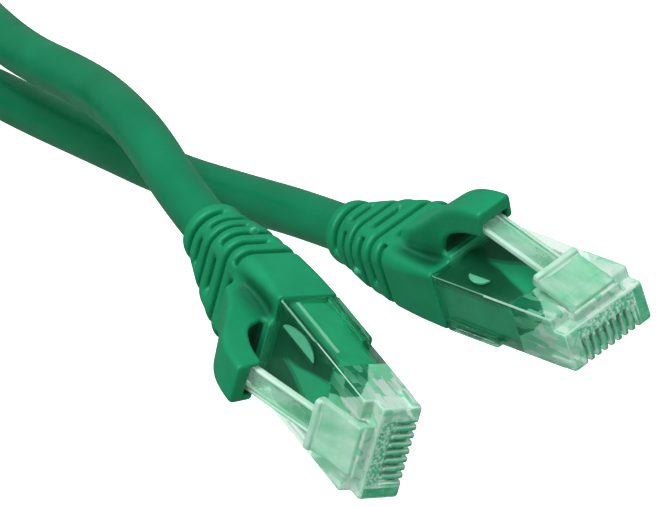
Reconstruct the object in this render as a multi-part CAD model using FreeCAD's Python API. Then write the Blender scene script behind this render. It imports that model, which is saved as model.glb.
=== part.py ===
import FreeCAD, Part
import math
import os
from FreeCAD import Placement, Rotation, Vector

os.makedirs("parts", exist_ok=True)

# Ethernet patch cable with two moulded, snagless 8P8C plugs. Millimetres.
# Part frame: +X is the way plug B is pushed in, +Z is up, the floor is z = 0, and the
# origin is the centre of the flat underside of plug B. Each plug is first built in its own
# frame: x forward to the nose at 0, y to the left, z from the contact side to the latch side.

# Housing
HOUSING_WIDTH = 11.68
HOUSING_LENGTH = 22.1
HOUSING_HEIGHT = 6.5
REAR_SECTION_LENGTH = 8.6
REAR_SECTION_DROP = 0.89
NOSE_HEIGHT = 5.0
NOSE_STEP = 1.8
HOUSING_CORNER = 0.35
SIDE_WALL = 0.9
FLOOR_WALL = 0.9
ROOF_WALL = 0.9
CAVITY_FRONT = 8.6
RECESS_FROM_NOSE = 16.6
RECESS_FROM_SIDE = 2.7
RECESS_RADIUS = 1.9
RECESS_DEPTH = 0.35
CRIMP_FRONT_FROM_NOSE = 14.9
CRIMP_REAR_FROM_NOSE = 17.2
CRIMP_DEPTH = 1.0
CRIMP_HALF_WIDTH = 3.7
LATCH_SEAT_FROM_NOSE = 0.4
LATCH_SEAT_MARGIN = 0.3
OVERCUT = 0.1

# Contacts and wires
CONTACT_COUNT = 8
CONTACT_PITCH = 1.02
CONTACT_THICKNESS = 0.32
CONTACT_LENGTH = 4.2
CONTACT_RECESS = 0.45
CONTACT_BAR_TOP = 1.9
CONTACT_TIP_TOP = 3.0
CONTACT_CORNER = 0.35
CONTACT_POINT_WIDTH = 0.5
CONTACT_POINT_FROM_END = 1.1
SLOT_WIDTH = 0.52
SLOT_LENGTH = 5.4
WIRE_DIAMETER = 0.9
WIRE_NOSE_GAP = 0.9
LOAD_BAR_LENGTH = 2.4
LOAD_BAR_WALL = 0.55
LOAD_BAR_FROM_NOSE = 5.7
FIT_CLEARANCE = 0.05

# Latch
LATCH_ANGLE = 20.15
LATCH_TRAVEL = 14.0
LATCH_THICKNESS = 1.0
LATCH_HALF_WIDTH = 3.1
LATCH_SHOULDER_FROM_NOSE = 7.0
LATCH_TAIL_HALF_WIDTH = 1.55
LATCH_TAIL_FROM_NOSE = 15.9
LATCH_RAIL_WIDTH = 0.45
LATCH_RAIL_HEIGHT = 0.35
LATCH_SHOULDER_RISE = 0.55
LATCH_SHOULDER_LENGTH = 0.8
LATCH_PIVOT_FROM_NOSE = 1.3
LATCH_PIVOT_BELOW_TOP = 0.45
LATCH_ROOT_RADIUS = 0.5
LATCH_OFFSET = 0.21
HINGE_CLEARANCE = 0.08
PRESS_CLEARANCE = 0.2

# Boot
CABLE_DIAMETER = 5.5
BOOT_LENGTH = 22.4
BOOT_STRAIGHT_LENGTH = 8.6
BOOT_SHOULDER_NARROWING = 0.18
BOOT_SHOULDER_RISE = 0.6
BOOT_SHOULDER_CORNER = 1.6
BOOT_WAIST_WIDENING = 0.2
BOOT_WAIST_RISE = 0.45
BOOT_WAIST_CORNER = 2.9
BOOT_COLLAR_DIAMETER = 7.4
BOOT_COLLAR_LENGTH = 2.6
BOOT_END_ROUND = 0.5
BOOT_FRONT_CORNER = 0.5
BOOT_AXIS_HEIGHT = 3.3
BOOT_DROP = 0.5
BORE_STRAIGHT_LENGTH = 6.0
BOOT_SIDEWAYS = {"a": 0.6, "b": -0.35}
GROOVE_COUNT = 6
GROOVE_PITCH = 2.15
GROOVE_WIDTH = 0.85
GROOVE_DEPTH = 0.75
GROOVE_FIRST_FROM_END = 2.1
GROOVE_WEB_WIDTH = 1.5
GROOVE_WEB_ANGLES = ((-112, 112), (-42, 42, 180))
SADDLE_TOP = 9.0
SADDLE_BEHIND_PIVOT = 4.8
SADDLE_AHEAD_OF_PIVOT = 0.8
SADDLE_REAR_SLOPE = 2.4
SADDLE_FRONT_SLOPE = 1.0
SADDLE_HALF_WIDTH = 4.6
SADDLE_DEPTH = 0.6

# Snag guard over the latch tail
GUARD_PIVOT_FROM_NOSE = 26.8
GUARD_PIVOT_HEIGHT = 8.1
GUARD_ANGLE = 29.3
GUARD_THICKNESS = 2.4
GUARD_HALF_WIDTH = 2.5
GUARD_CREST_FROM_NOSE = 20.4
GUARD_FRONT_FROM_NOSE = 14.6
GUARD_FRONT_RISE = 0.65
GUARD_LIP_THICKNESS = 1.3
GUARD_LIP_LEAN = 0.3

# Insert that holds the jacket in the housing
INSERT_TAPER = 1.4
JACKET_FRONT = 13.1
JACKET_GRIP_WALL = 0.3
FAN_START_LENGTH = 0.3
FAN_SPREAD_SHARE = 0.6
FAN_END_GAP = 0.3
FAN_ROOM_MARGIN = 0.2
WIRE_SPACING = 0.96
WIRE_ABOVE_TIPS = 0.1

# Pose of plug A, and cable
PLUG_A_NOSE_X = 17.25
PLUG_A_NOSE_Y = -28.56
PLUG_A_YAW = -16.7
PLUG_A_PITCH = 11.7
PLUG_A_ROLL = 62.5
COIL_CENTRE_X = -155.0
COIL_CENTRE_Y = -6.0
COIL_RADIUS = 28.6
COIL_GAP = 0.65
COIL_TURNS = 3.712
COIL_CLIMB_SHARE = 0.25
COIL_START_ANGLE = -35.8
COIL_ARCS_PER_TURN = 4
COIL_END_STRAIGHT = 2.0
TIE_THICKNESS = 0.8
TIE_WIDTH = 7.0
TIE_ANGLE = 150.0
TIE_CORNER = 2.0
TIE_GAP = 0.45
TIE_TAIL_SHARE = 0.6
PLUG_LEAD = 7.5
COIL_LEAD = 7.0
ARC_SHARE = 0.45

# Route of the cable from boot A to the coil and from boot B to the coil: free points.
ROUTE_A = [
    (-42.2, -12.7, 18.6),
    (-51.9, -9.5, 18.0),
    (-62.4, -5.1, 16.8),
    (-77.0, -3.0, 15.4),
    (-91.2, 1.3, 14.1),
    (-102.5, 5.3, 13.9),
    (-115.5, 10.3, 16.6),
    (-125.5, 13.7, 19.9),
]
ROUTE_B = [
    (-44.9, -0.3, 2.8),
    (-57.5, -1.0, 2.75),
    (-71.8, 0.0, 2.75),
    (-86.7, 0.9, 2.75),
    (-99.0, 2.2, 2.75),
    (-109.0, 0.0, 2.9),
    (-119.1, -6.0, 3.2),
]

HALF_WIDTH = HOUSING_WIDTH / 2
REAR_START = HOUSING_LENGTH - REAR_SECTION_LENGTH
CABLE_RADIUS = CABLE_DIAMETER / 2
PIVOT_Z = HOUSING_HEIGHT - LATCH_PIVOT_BELOW_TOP
BOOT_END = HOUSING_LENGTH + BOOT_LENGTH
WIRE_Z = CONTACT_TIP_TOP + WIRE_ABOVE_TIPS
JACKET_INSIDE_HOUSING = HOUSING_LENGTH - JACKET_FRONT
INSERT_HALF_WIDTH = HALF_WIDTH - SIDE_WALL - FIT_CLEARANCE
INSERT_BOTTOM = FLOOR_WALL + FIT_CLEARANCE
INSERT_TOP = HOUSING_HEIGHT - ROOF_WALL - FIT_CLEARANCE


def sind(angle):
    return math.sin(math.radians(angle))


def cosd(angle):
    return math.cos(math.radians(angle))


def block(x_low, x_high, y_low, y_high, z_low, z_high):
    """Box between two corners."""
    size = (x_high - x_low, y_high - y_low, z_high - z_low)
    return Part.makeBox(*size, Vector(x_low, y_low, z_low))


def prism(outline, half_width):
    """Side outline of (x, z) points, as wide as half_width to each side of y = 0."""
    points = [Vector(x, -half_width, z) for x, z in outline]
    face = Part.Face(Part.makePolygon(points + points[:1]))
    return face.extrude(Vector(0, 2 * half_width, 0))


def rod_y(x, z, radius, half_width):
    return Part.makeCylinder(radius, 2 * half_width, Vector(x, -half_width, z), Vector(0, 1, 0))


def rounded_outline(x, half_width, z_low, z_high, corner):
    """Rounded rectangle across the plug at x, as one wire of four lines and four arcs."""
    centre_y = half_width - corner
    corners = [
        (centre_y, z_high - corner, 0),
        (-centre_y, z_high - corner, 90),
        (-centre_y, z_low + corner, 180),
        (centre_y, z_low + corner, 270),
    ]

    def on_arc(centre, angle):
        y, z, _ = centre
        return Vector(x, y + corner * cosd(angle), z + corner * sind(angle))

    edges = []
    for index, centre in enumerate(corners):
        start = centre[2]
        arc_points = [on_arc(centre, start + step) for step in (0, 45, 90)]
        following = corners[(index + 1) % 4]
        edges.append(Part.Arc(*arc_points).toShape())
        line_end = on_arc(following, following[2])
        edges.append(Part.LineSegment(arc_points[2], line_end).toShape())
    return Part.Wire(edges)


def rounded_bar(x_low, x_high, half_width, z_low, z_high, corner):
    outline = rounded_outline(x_low, half_width, z_low, z_high, corner)
    return Part.Face(outline).extrude(Vector(x_high - x_low, 0, 0))


def contact_y(index):
    return (index - (CONTACT_COUNT - 1) / 2) * CONTACT_PITCH


def latch_outline_point(behind_pivot, across, angle):
    """Point beside the latch's middle line: behind the pivot along it, and square to it."""
    x = -LATCH_PIVOT_FROM_NOSE - behind_pivot * cosd(angle) + across * sind(angle)
    z = PIVOT_Z + behind_pivot * sind(angle) + across * cosd(angle)
    return x, z


def make_housing():
    """Clear plug body with its cavity, contact slots and seat for the latch."""
    lower = rounded_bar(-HOUSING_LENGTH, 0, HALF_WIDTH, 0, NOSE_HEIGHT, HOUSING_CORNER)
    upper = rounded_bar(
        -HOUSING_LENGTH, -NOSE_STEP, HALF_WIDTH, 0, HOUSING_HEIGHT, HOUSING_CORNER
    )
    rear = rounded_bar(
        -HOUSING_LENGTH, -REAR_START, HALF_WIDTH, -REAR_SECTION_DROP, HOUSING_HEIGHT,
        HOUSING_CORNER,
    )
    seat_rear = -NOSE_STEP - LATCH_ROOT_RADIUS
    seat_low = NOSE_HEIGHT - LATCH_ROOT_RADIUS
    seat_high = PIVOT_Z + LATCH_ROOT_RADIUS / 2
    seat_outline = [
        (seat_rear, seat_low),
        (-LATCH_SEAT_FROM_NOSE, seat_low),
        (-LATCH_SEAT_FROM_NOSE, seat_high),
        (seat_rear, seat_high),
    ]
    seat = prism(seat_outline, LATCH_HALF_WIDTH + LATCH_SEAT_MARGIN)
    body = lower.fuse([upper, rear, seat]).removeSplitter()

    cavity = block(
        -HOUSING_LENGTH - 1, -CAVITY_FRONT, -HALF_WIDTH + SIDE_WALL, HALF_WIDTH - SIDE_WALL,
        FLOOR_WALL, HOUSING_HEIGHT - ROOF_WALL,
    )
    row_half_width = CONTACT_COUNT / 2 * CONTACT_PITCH + FIT_CLEARANCE
    bar_half_height = WIRE_DIAMETER / 2 + LOAD_BAR_WALL + FIT_CLEARANCE
    bar_room = block(
        -CAVITY_FRONT - OVERCUT, -LOAD_BAR_FROM_NOSE, -row_half_width, row_half_width,
        WIRE_Z - bar_half_height, WIRE_Z + bar_half_height,
    )
    wire_half_height = WIRE_DIAMETER / 2 + FIT_CLEARANCE
    wire_room = block(
        -LOAD_BAR_FROM_NOSE - OVERCUT, -WIRE_NOSE_GAP + FIT_CLEARANCE,
        -row_half_width, row_half_width,
        WIRE_Z - wire_half_height, WIRE_Z + wire_half_height,
    )
    slots = []
    for index in range(CONTACT_COUNT):
        middle = contact_y(index)
        slots.append(block(
            -SLOT_LENGTH, 1, middle - SLOT_WIDTH / 2, middle + SLOT_WIDTH / 2, -1, WIRE_Z
        ))

    pressed = LATCH_ANGLE - LATCH_TRAVEL
    under = LATCH_OFFSET - LATCH_THICKNESS / 2 - PRESS_CLEARANCE
    relief_outline = [
        latch_outline_point(-PRESS_CLEARANCE, under, pressed),
        latch_outline_point(LATCH_TAIL_FROM_NOSE, under, pressed),
        (-LATCH_TAIL_FROM_NOSE, 3 * HOUSING_HEIGHT),
        (-LATCH_PIVOT_FROM_NOSE, 3 * HOUSING_HEIGHT),
    ]
    relief = prism(relief_outline, LATCH_HALF_WIDTH + PRESS_CLEARANCE)
    hinge_room = rod_y(
        -LATCH_PIVOT_FROM_NOSE, PIVOT_Z, LATCH_ROOT_RADIUS + HINGE_CLEARANCE,
        LATCH_HALF_WIDTH + PRESS_CLEARANCE,
    )
    recess_low = HOUSING_HEIGHT - RECESS_DEPTH
    recess_y = HALF_WIDTH - RECESS_FROM_SIDE
    recesses = []
    for side in (-1, 1):
        disc = Part.makeCylinder(
            RECESS_RADIUS, 1, Vector(-RECESS_FROM_NOSE, side * recess_y, recess_low)
        )
        recesses.append(disc.cut(block(
            -RECESS_FROM_NOSE - 2 * RECESS_RADIUS, -RECESS_FROM_NOSE + 2 * RECESS_RADIUS,
            -recess_y, recess_y, recess_low - 1, recess_low + 2,
        )))
    crimp_outline = [
        (-CRIMP_REAR_FROM_NOSE, -REAR_SECTION_DROP - OVERCUT),
        (-CRIMP_FRONT_FROM_NOSE, -REAR_SECTION_DROP - OVERCUT),
        (-CRIMP_FRONT_FROM_NOSE, -REAR_SECTION_DROP + CRIMP_DEPTH),
    ]
    crimp_pocket = prism(crimp_outline, CRIMP_HALF_WIDTH)
    rooms = [cavity, bar_room, wire_room, relief, hinge_room, crimp_pocket]
    return body.cut(rooms + recesses + slots)


def make_latch():
    """Locking lever: wide front part with shoulders, narrow tail with two rails."""
    low = LATCH_OFFSET - LATCH_THICKNESS / 2
    high = LATCH_OFFSET + LATCH_THICKNESS / 2
    shoulder = (LATCH_SHOULDER_FROM_NOSE - LATCH_PIVOT_FROM_NOSE) / cosd(LATCH_ANGLE)
    tail = (LATCH_TAIL_FROM_NOSE - LATCH_PIVOT_FROM_NOSE) / cosd(LATCH_ANGLE)

    def plate(start, end, bottom, top, half_width):
        corners = [(start, bottom), (end, bottom), (end, top), (start, top)]
        outline = [latch_outline_point(along, across, LATCH_ANGLE) for along, across in corners]
        return prism(outline, half_width)

    root = rod_y(-LATCH_PIVOT_FROM_NOSE, PIVOT_Z, LATCH_ROOT_RADIUS, LATCH_HALF_WIDTH)
    wide = plate(0, shoulder, low, high, LATCH_HALF_WIDTH)
    wall = plate(
        shoulder - LATCH_SHOULDER_LENGTH, shoulder, high - OVERCUT, high + LATCH_SHOULDER_RISE,
        LATCH_HALF_WIDTH,
    )
    narrow = plate(shoulder - LATCH_THICKNESS, tail, low, high, LATCH_TAIL_HALF_WIDTH)
    latch = root.fuse([wide, wall, narrow])
    groove = plate(
        shoulder, tail + OVERCUT, high - LATCH_RAIL_HEIGHT,
        high + LATCH_THICKNESS, LATCH_TAIL_HALF_WIDTH - LATCH_RAIL_WIDTH,
    )
    return latch.cut(groove).removeSplitter()


def boot_sections(inset, sideways):
    """Outlines from the front face to the collar; the soft rear part sags and leans a little."""
    low = -REAR_SECTION_DROP
    collar = BOOT_COLLAR_DIAMETER / 2
    rim = collar - BOOT_END_ROUND
    axis = BOOT_AXIS_HEIGHT - BOOT_DROP
    ribbed_start = HOUSING_LENGTH + BOOT_STRAIGHT_LENGTH
    collar_start = BOOT_END - BOOT_COLLAR_LENGTH
    middle = (ribbed_start + collar_start) / 2
    shoulder_width = HALF_WIDTH - BOOT_SHOULDER_NARROWING
    waist_width = (HALF_WIDTH + collar) / 2 + BOOT_WAIST_WIDENING
    waist_top = (HOUSING_HEIGHT + axis + collar) / 2 + BOOT_WAIST_RISE
    front = (HALF_WIDTH, low, HOUSING_HEIGHT, BOOT_FRONT_CORNER)
    shoulder = (shoulder_width, low, HOUSING_HEIGHT + BOOT_SHOULDER_RISE, BOOT_SHOULDER_CORNER)
    waist = (waist_width, low, waist_top, BOOT_WAIST_CORNER)
    round_end = (collar, axis - collar, axis + collar, collar - OVERCUT)
    round_rim = (rim, axis - rim, axis + rim, rim - OVERCUT)
    stations = [
        (-HOUSING_LENGTH, 0, front),
        (-HOUSING_LENGTH - BOOT_STRAIGHT_LENGTH / 2, 0, front),
        (-ribbed_start, 0, shoulder),
        (-middle, sideways / 2, waist),
        (-collar_start, sideways, round_end),
        (-BOOT_END + BOOT_END_ROUND, sideways, round_end),
        (-BOOT_END, sideways, round_rim),
    ]
    wires = []
    for x, shift, (half_width, low, high, corner) in stations:
        corner_inside = max(corner - inset, OVERCUT)
        wire = rounded_outline(x, half_width - inset, low + inset, high - inset, corner_inside)
        wire.translate(Vector(0, shift, 0))
        wires.append(wire)
    return wires


def jacket_route(sideways, extra):
    """Middle line of the cable through the boot, longer by extra at both ends."""
    low = BOOT_AXIS_HEIGHT - BOOT_DROP
    points = [
        Vector(-BOOT_END - extra, sideways, low),
        Vector(-BOOT_END + BORE_STRAIGHT_LENGTH, sideways, low),
        Vector(-HOUSING_LENGTH - BORE_STRAIGHT_LENGTH, 0, BOOT_AXIS_HEIGHT),
        Vector(-HOUSING_LENGTH + extra, 0, BOOT_AXIS_HEIGHT),
    ]
    return route_wire(points, "jacket in the boot")


def make_saddle():
    """Sloping block on top of the boot that carries the snag guard."""
    def ring(rear, front, half_width, height):
        corners = [
            Vector(rear, -half_width, height),
            Vector(front, -half_width, height),
            Vector(front, half_width, height),
            Vector(rear, half_width, height),
        ]
        return Part.makePolygon(corners + corners[:1])

    rear = -GUARD_PIVOT_FROM_NOSE - SADDLE_BEHIND_PIVOT
    front = -GUARD_PIVOT_FROM_NOSE + SADDLE_AHEAD_OF_PIVOT
    foot = ring(rear, front, SADDLE_HALF_WIDTH, HOUSING_HEIGHT - SADDLE_DEPTH)
    top = ring(
        rear + SADDLE_REAR_SLOPE, front - SADDLE_FRONT_SLOPE, GUARD_HALF_WIDTH, SADDLE_TOP
    )
    return Part.makeLoft([foot, top], True, True)


def make_boot(sideways):
    """Ribbed strain relief: straight front, six broken grooves, round collar, saddle."""
    shell = Part.makeLoft(boot_sections(0, sideways), True, True)
    core = Part.makeLoft(boot_sections(GROOVE_DEPTH, sideways), True, True)
    reach = HOUSING_WIDTH
    half_web = GROOVE_WEB_WIDTH / 2
    grooves = []
    for index in range(GROOVE_COUNT):
        rear = -BOOT_END + GROOVE_FIRST_FROM_END + index * GROOVE_PITCH
        front = rear + GROOVE_WIDTH
        ring = block(rear, front, -reach, reach, -reach, 2 * reach).cut(core)
        for angle in GROOVE_WEB_ANGLES[index % 2]:
            web = block(rear - OVERCUT, front + OVERCUT, -half_web, half_web, 0, 2 * reach)
            web.rotate(Vector(), Vector(1, 0, 0), angle)
            web.translate(Vector(0, 0, BOOT_AXIS_HEIGHT))
            ring = ring.cut(web)
        grooves.append(ring)
    boot = shell.cut(grooves).fuse(make_saddle())

    hinge_room = rod_y(
        -GUARD_PIVOT_FROM_NOSE, GUARD_PIVOT_HEIGHT, GUARD_THICKNESS / 2 + HINGE_CLEARANCE,
        SADDLE_HALF_WIDTH,
    )
    bore = tube(jacket_route(sideways, 1), CABLE_RADIUS + FIT_CLEARANCE, "bore of the boot")
    return boot.cut([hinge_room, bore]).removeSplitter()


def make_guard():
    """Hood over the latch tail: a root at the saddle, a ramp and a flat front lip."""
    half = GUARD_THICKNESS / 2
    pivot = (-GUARD_PIVOT_FROM_NOSE, GUARD_PIVOT_HEIGHT)

    def beside_ramp(along, across):
        x = pivot[0] + along * cosd(GUARD_ANGLE) - across * sind(GUARD_ANGLE)
        z = pivot[1] + along * sind(GUARD_ANGLE) + across * cosd(GUARD_ANGLE)
        return x, z

    crest_along = (GUARD_PIVOT_FROM_NOSE - GUARD_CREST_FROM_NOSE) / cosd(GUARD_ANGLE)
    crest = beside_ramp(crest_along + half * sind(GUARD_ANGLE), half)
    front_x = -GUARD_FRONT_FROM_NOSE
    front_top = crest[1] + GUARD_FRONT_RISE
    lip_bottom = front_top - GUARD_LIP_THICKNESS
    low_start = beside_ramp(0, -half)
    low_end_x = low_start[0] + (lip_bottom - low_start[1]) / math.tan(math.radians(GUARD_ANGLE))
    outline = [
        low_start,
        (low_end_x, lip_bottom),
        (front_x, lip_bottom),
        (front_x - GUARD_LIP_LEAN, front_top),
        crest,
        beside_ramp(0, half),
    ]
    root = rod_y(pivot[0], pivot[1], half, GUARD_HALF_WIDTH)
    return root.fuse(prism(outline, GUARD_HALF_WIDTH)).removeSplitter()


def make_insert():
    """Moulded block that grips the jacket and fills the rear of the cavity."""
    rear = -HOUSING_LENGTH
    front = -CAVITY_FRONT - FIT_CLEARANCE
    outline = [
        (rear, INSERT_BOTTOM),
        (front, INSERT_BOTTOM),
        (front, INSERT_TOP - INSERT_TAPER),
        (front - 2 * INSERT_TAPER, INSERT_TOP),
        (rear, INSERT_TOP),
    ]
    insert = prism(outline, INSERT_HALF_WIDTH)
    jacket_room = Part.makeCylinder(
        jacket_end_radius() + FIT_CLEARANCE, JACKET_INSIDE_HOUSING + 1,
        Vector(rear - 1, 0, jacket_z()), Vector(1, 0, 0),
    )
    fan_half_width = CONTACT_COUNT / 2 * CONTACT_PITCH
    fan_reach = (WIRE_SPACING + WIRE_DIAMETER) / 2 + FAN_ROOM_MARGIN
    fan_room = block(
        -JACKET_FRONT - OVERCUT, front + 1, -fan_half_width, fan_half_width,
        min(WIRE_Z, jacket_z()) - fan_reach, max(WIRE_Z, jacket_z()) + fan_reach,
    )
    return insert.cut([jacket_room, fan_room])


def jacket_z():
    return (INSERT_BOTTOM + INSERT_TOP) / 2


def jacket_end_radius():
    """The jacket is squeezed where the insert grips it."""
    return min(CABLE_RADIUS, (INSERT_TOP - INSERT_BOTTOM) / 2 - JACKET_GRIP_WALL)


def make_jacket_end(sideways):
    """Last stretch of the jacket: through the boot's bore into the insert."""
    in_boot = tube(jacket_route(sideways, 0), CABLE_RADIUS, "jacket end")
    in_insert = Part.makeCylinder(
        jacket_end_radius(), JACKET_INSIDE_HOUSING, Vector(-HOUSING_LENGTH, 0, jacket_z()),
        Vector(1, 0, 0),
    )
    return in_boot.fuse(in_insert).removeSplitter()


def wire_place(index):
    """Where wire number index leaves the jacket: y and z of its middle."""
    column = index // 2 - (CONTACT_COUNT / 2 - 1) / 2
    row = 0.5 if index % 2 == 0 else -0.5
    return column * WIRE_SPACING, jacket_z() + row * WIRE_SPACING


def make_contact(index):
    """Blade with a bevelled nose and two piercing points that enter the wire."""
    front = -CONTACT_RECESS
    rear = front - CONTACT_LENGTH
    half_point = CONTACT_POINT_WIDTH / 2
    outline = [
        (rear, CONTACT_RECESS),
        (front - CONTACT_CORNER, CONTACT_RECESS),
        (front, CONTACT_RECESS + CONTACT_CORNER),
        (front, CONTACT_BAR_TOP),
    ]
    for x in (front - CONTACT_POINT_FROM_END, rear + CONTACT_POINT_FROM_END):
        outline.append((x + half_point, CONTACT_BAR_TOP))
        outline.append((x, CONTACT_TIP_TOP))
        outline.append((x - half_point, CONTACT_BAR_TOP))
    outline.append((rear, CONTACT_BAR_TOP))
    blade = prism(outline, CONTACT_THICKNESS / 2)
    blade.translate(Vector(0, contact_y(index), 0))
    return blade


def make_wire(index, contact):
    """Insulated wire: out of the jacket, spread sideways, then level, on to the nose."""
    radius = WIRE_DIAMETER / 2
    start_y, start_z = wire_place(index)
    row_y = contact_y(index)
    fan_start = -JACKET_FRONT + FAN_START_LENGTH
    fan_end = -LOAD_BAR_FROM_NOSE - LOAD_BAR_LENGTH - FAN_END_GAP
    spread = fan_start + FAN_SPREAD_SHARE * (fan_end - fan_start)
    along = Vector(1, 0, 0)
    start = Part.makeCylinder(
        radius, FAN_START_LENGTH, Vector(-JACKET_FRONT, start_y, start_z), along
    )
    circles = []
    for x, y, z in (
        (fan_start, start_y, start_z),
        (spread, row_y, start_z),
        (fan_end, row_y, WIRE_Z),
    ):
        circles.append(Part.Wire(Part.Circle(Vector(x, y, z), along, radius).toShape()))
    fan = Part.makeLoft(circles, True, True)
    row = Part.makeCylinder(
        radius, -WIRE_NOSE_GAP - fan_end, Vector(fan_end, row_y, WIRE_Z), along
    )
    return start.fuse([fan, row]).cut(contact)


def make_load_bar():
    """Comb that keeps the eight wires in a row behind the contacts."""
    half_width = CONTACT_COUNT / 2 * CONTACT_PITCH
    half_height = WIRE_DIAMETER / 2 + LOAD_BAR_WALL
    rear = -LOAD_BAR_FROM_NOSE - LOAD_BAR_LENGTH
    front = -LOAD_BAR_FROM_NOSE - FIT_CLEARANCE
    bar = block(rear, front, -half_width, half_width, WIRE_Z - half_height, WIRE_Z + half_height)
    holes = []
    for index in range(CONTACT_COUNT):
        holes.append(Part.makeCylinder(
            WIRE_DIAMETER / 2 + FIT_CLEARANCE / 2, 2 * LOAD_BAR_LENGTH,
            Vector(rear - LOAD_BAR_LENGTH / 2, contact_y(index), WIRE_Z), Vector(1, 0, 0),
        ))
    return bar.cut(holes)


def unit(vector):
    length = vector.Length
    return Vector(vector.x / length, vector.y / length, vector.z / length)


def route_wire(points, label):
    """Straight runs joined by tangent arcs through a list of route points."""
    edges = []
    start = points[0]
    radii = []
    for before, corner, after in zip(points, points[1:], points[2:]):
        inward = unit(corner - before)
        outward = unit(after - corner)
        turn = inward.getAngle(outward)
        shorter = min((corner - before).Length, (after - corner).Length)
        trim = ARC_SHARE * shorter
        radii.append(trim / math.tan(turn / 2))
        arc_start = corner - inward * trim
        arc_end = corner + outward * trim
        sagitta = radii[-1] * (1 / math.cos(turn / 2) - 1)
        middle = corner + unit(outward - inward) * sagitta
        edges.append(Part.LineSegment(start, arc_start).toShape())
        edges.append(Part.Arc(arc_start, middle, arc_end).toShape())
        start = arc_end
    edges.append(Part.LineSegment(start, points[-1]).toShape())
    print(label, "radii", [round(radius, 1) for radius in radii])
    return Part.Wire(edges)


def tube(path, radius, label):
    """Round bar along a path, with its volume against section times length."""
    start = path.Edges[0].valueAt(path.Edges[0].FirstParameter)
    heading = path.Edges[0].tangentAt(path.Edges[0].FirstParameter)
    section = Part.Wire(Part.Circle(start, heading, radius).toShape())
    solid = path.makePipeShell([section], True, False)
    expected = math.pi * radius ** 2 * path.Length
    print(label, "length", round(path.Length, 1), "volume ratio", round(solid.Volume / expected, 4))
    return solid


COIL_PITCH = CABLE_DIAMETER + COIL_GAP
COIL_LOW_Z = CABLE_RADIUS + TIE_THICKNESS


def coil_point(turns):
    """Middle of the cable after so many turns: each turn ends with a climb to the next level."""
    level = math.floor(turns)
    climbed = max(1 - (level + 1 - turns) / COIL_CLIMB_SHARE, 0)
    height = COIL_LOW_Z + COIL_PITCH * (level + climbed ** 2 * (3 - 2 * climbed))
    angle = COIL_START_ANGLE - 360 * turns
    return Vector(
        COIL_CENTRE_X + COIL_RADIUS * cosd(angle), COIL_CENTRE_Y + COIL_RADIUS * sind(angle),
        height,
    )


def coil_heading(turns):
    step = 1e-4
    before = coil_point(max(turns - step, 0))
    after = coil_point(min(turns + step, COIL_TURNS))
    return unit(after - before)


def arc_from(start, heading, end):
    """Arc that leaves start along heading and ends at end."""
    chord = end - start
    off = chord - heading * chord.dot(heading)
    if off.Length < 1e-6:
        return Part.LineSegment(start, end).toShape()
    angle = heading.getAngle(chord)
    side = unit(off)
    radius = chord.Length / (2 * math.sin(angle))
    centre = start + side * radius
    middle = centre + unit(heading * math.sin(angle) - side * math.cos(angle)) * radius
    return Part.Arc(start, middle, end).toShape()


def biarc(start, start_heading, end, end_heading):
    """Two tangent arcs between two points with given headings."""
    span = end - start
    total = start_heading + end_heading
    lean = 2 * (1 - start_heading.dot(end_heading))
    across = span.dot(total)
    reach = (-across + math.sqrt(across ** 2 + lean * span.dot(span))) / lean
    joint = (start + end + (start_heading - end_heading) * reach) * 0.5
    first = arc_from(start, start_heading, joint)
    backward = arc_from(end, end_heading * -1, joint)
    second = Part.Arc(
        joint, backward.valueAt((backward.FirstParameter + backward.LastParameter) / 2), end
    ).toShape()
    return [first, second]


def coil_ends():
    """Free ends of the coil, a short straight beyond its first and last turn."""
    first = coil_point(0) - coil_heading(0) * COIL_END_STRAIGHT
    last = coil_point(COIL_TURNS) + coil_heading(COIL_TURNS) * COIL_END_STRAIGHT
    return first, last


def make_coil():
    """Put-away length: one unbroken cable whose turns lie on top of each other."""
    arcs = math.ceil(COIL_TURNS * COIL_ARCS_PER_TURN)
    stations = [min(index / COIL_ARCS_PER_TURN, COIL_TURNS) for index in range(arcs + 1)]
    first, last = coil_ends()
    edges = [Part.LineSegment(first, coil_point(0)).toShape()]
    for start, end in zip(stations, stations[1:]):
        edges += biarc(coil_point(start), coil_heading(start), coil_point(end), coil_heading(end))
    edges.append(Part.LineSegment(coil_point(COIL_TURNS), last).toShape())
    path = Part.Wire(edges)
    report_coil_gap(path)
    return tube(path, CABLE_RADIUS, "coil")


def report_coil_gap(path):
    """Least gap of the cable to itself, from points a millimetre or so apart."""
    points = path.discretize(Number=int(path.Length))
    apart = int(COIL_RADIUS)
    least = 1e9
    for index, point in enumerate(points):
        for other in points[index + apart:]:
            least = min(least, point.distanceToPoint(other))
    print("coil least gap to itself", round(least - CABLE_DIAMETER, 3))


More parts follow.
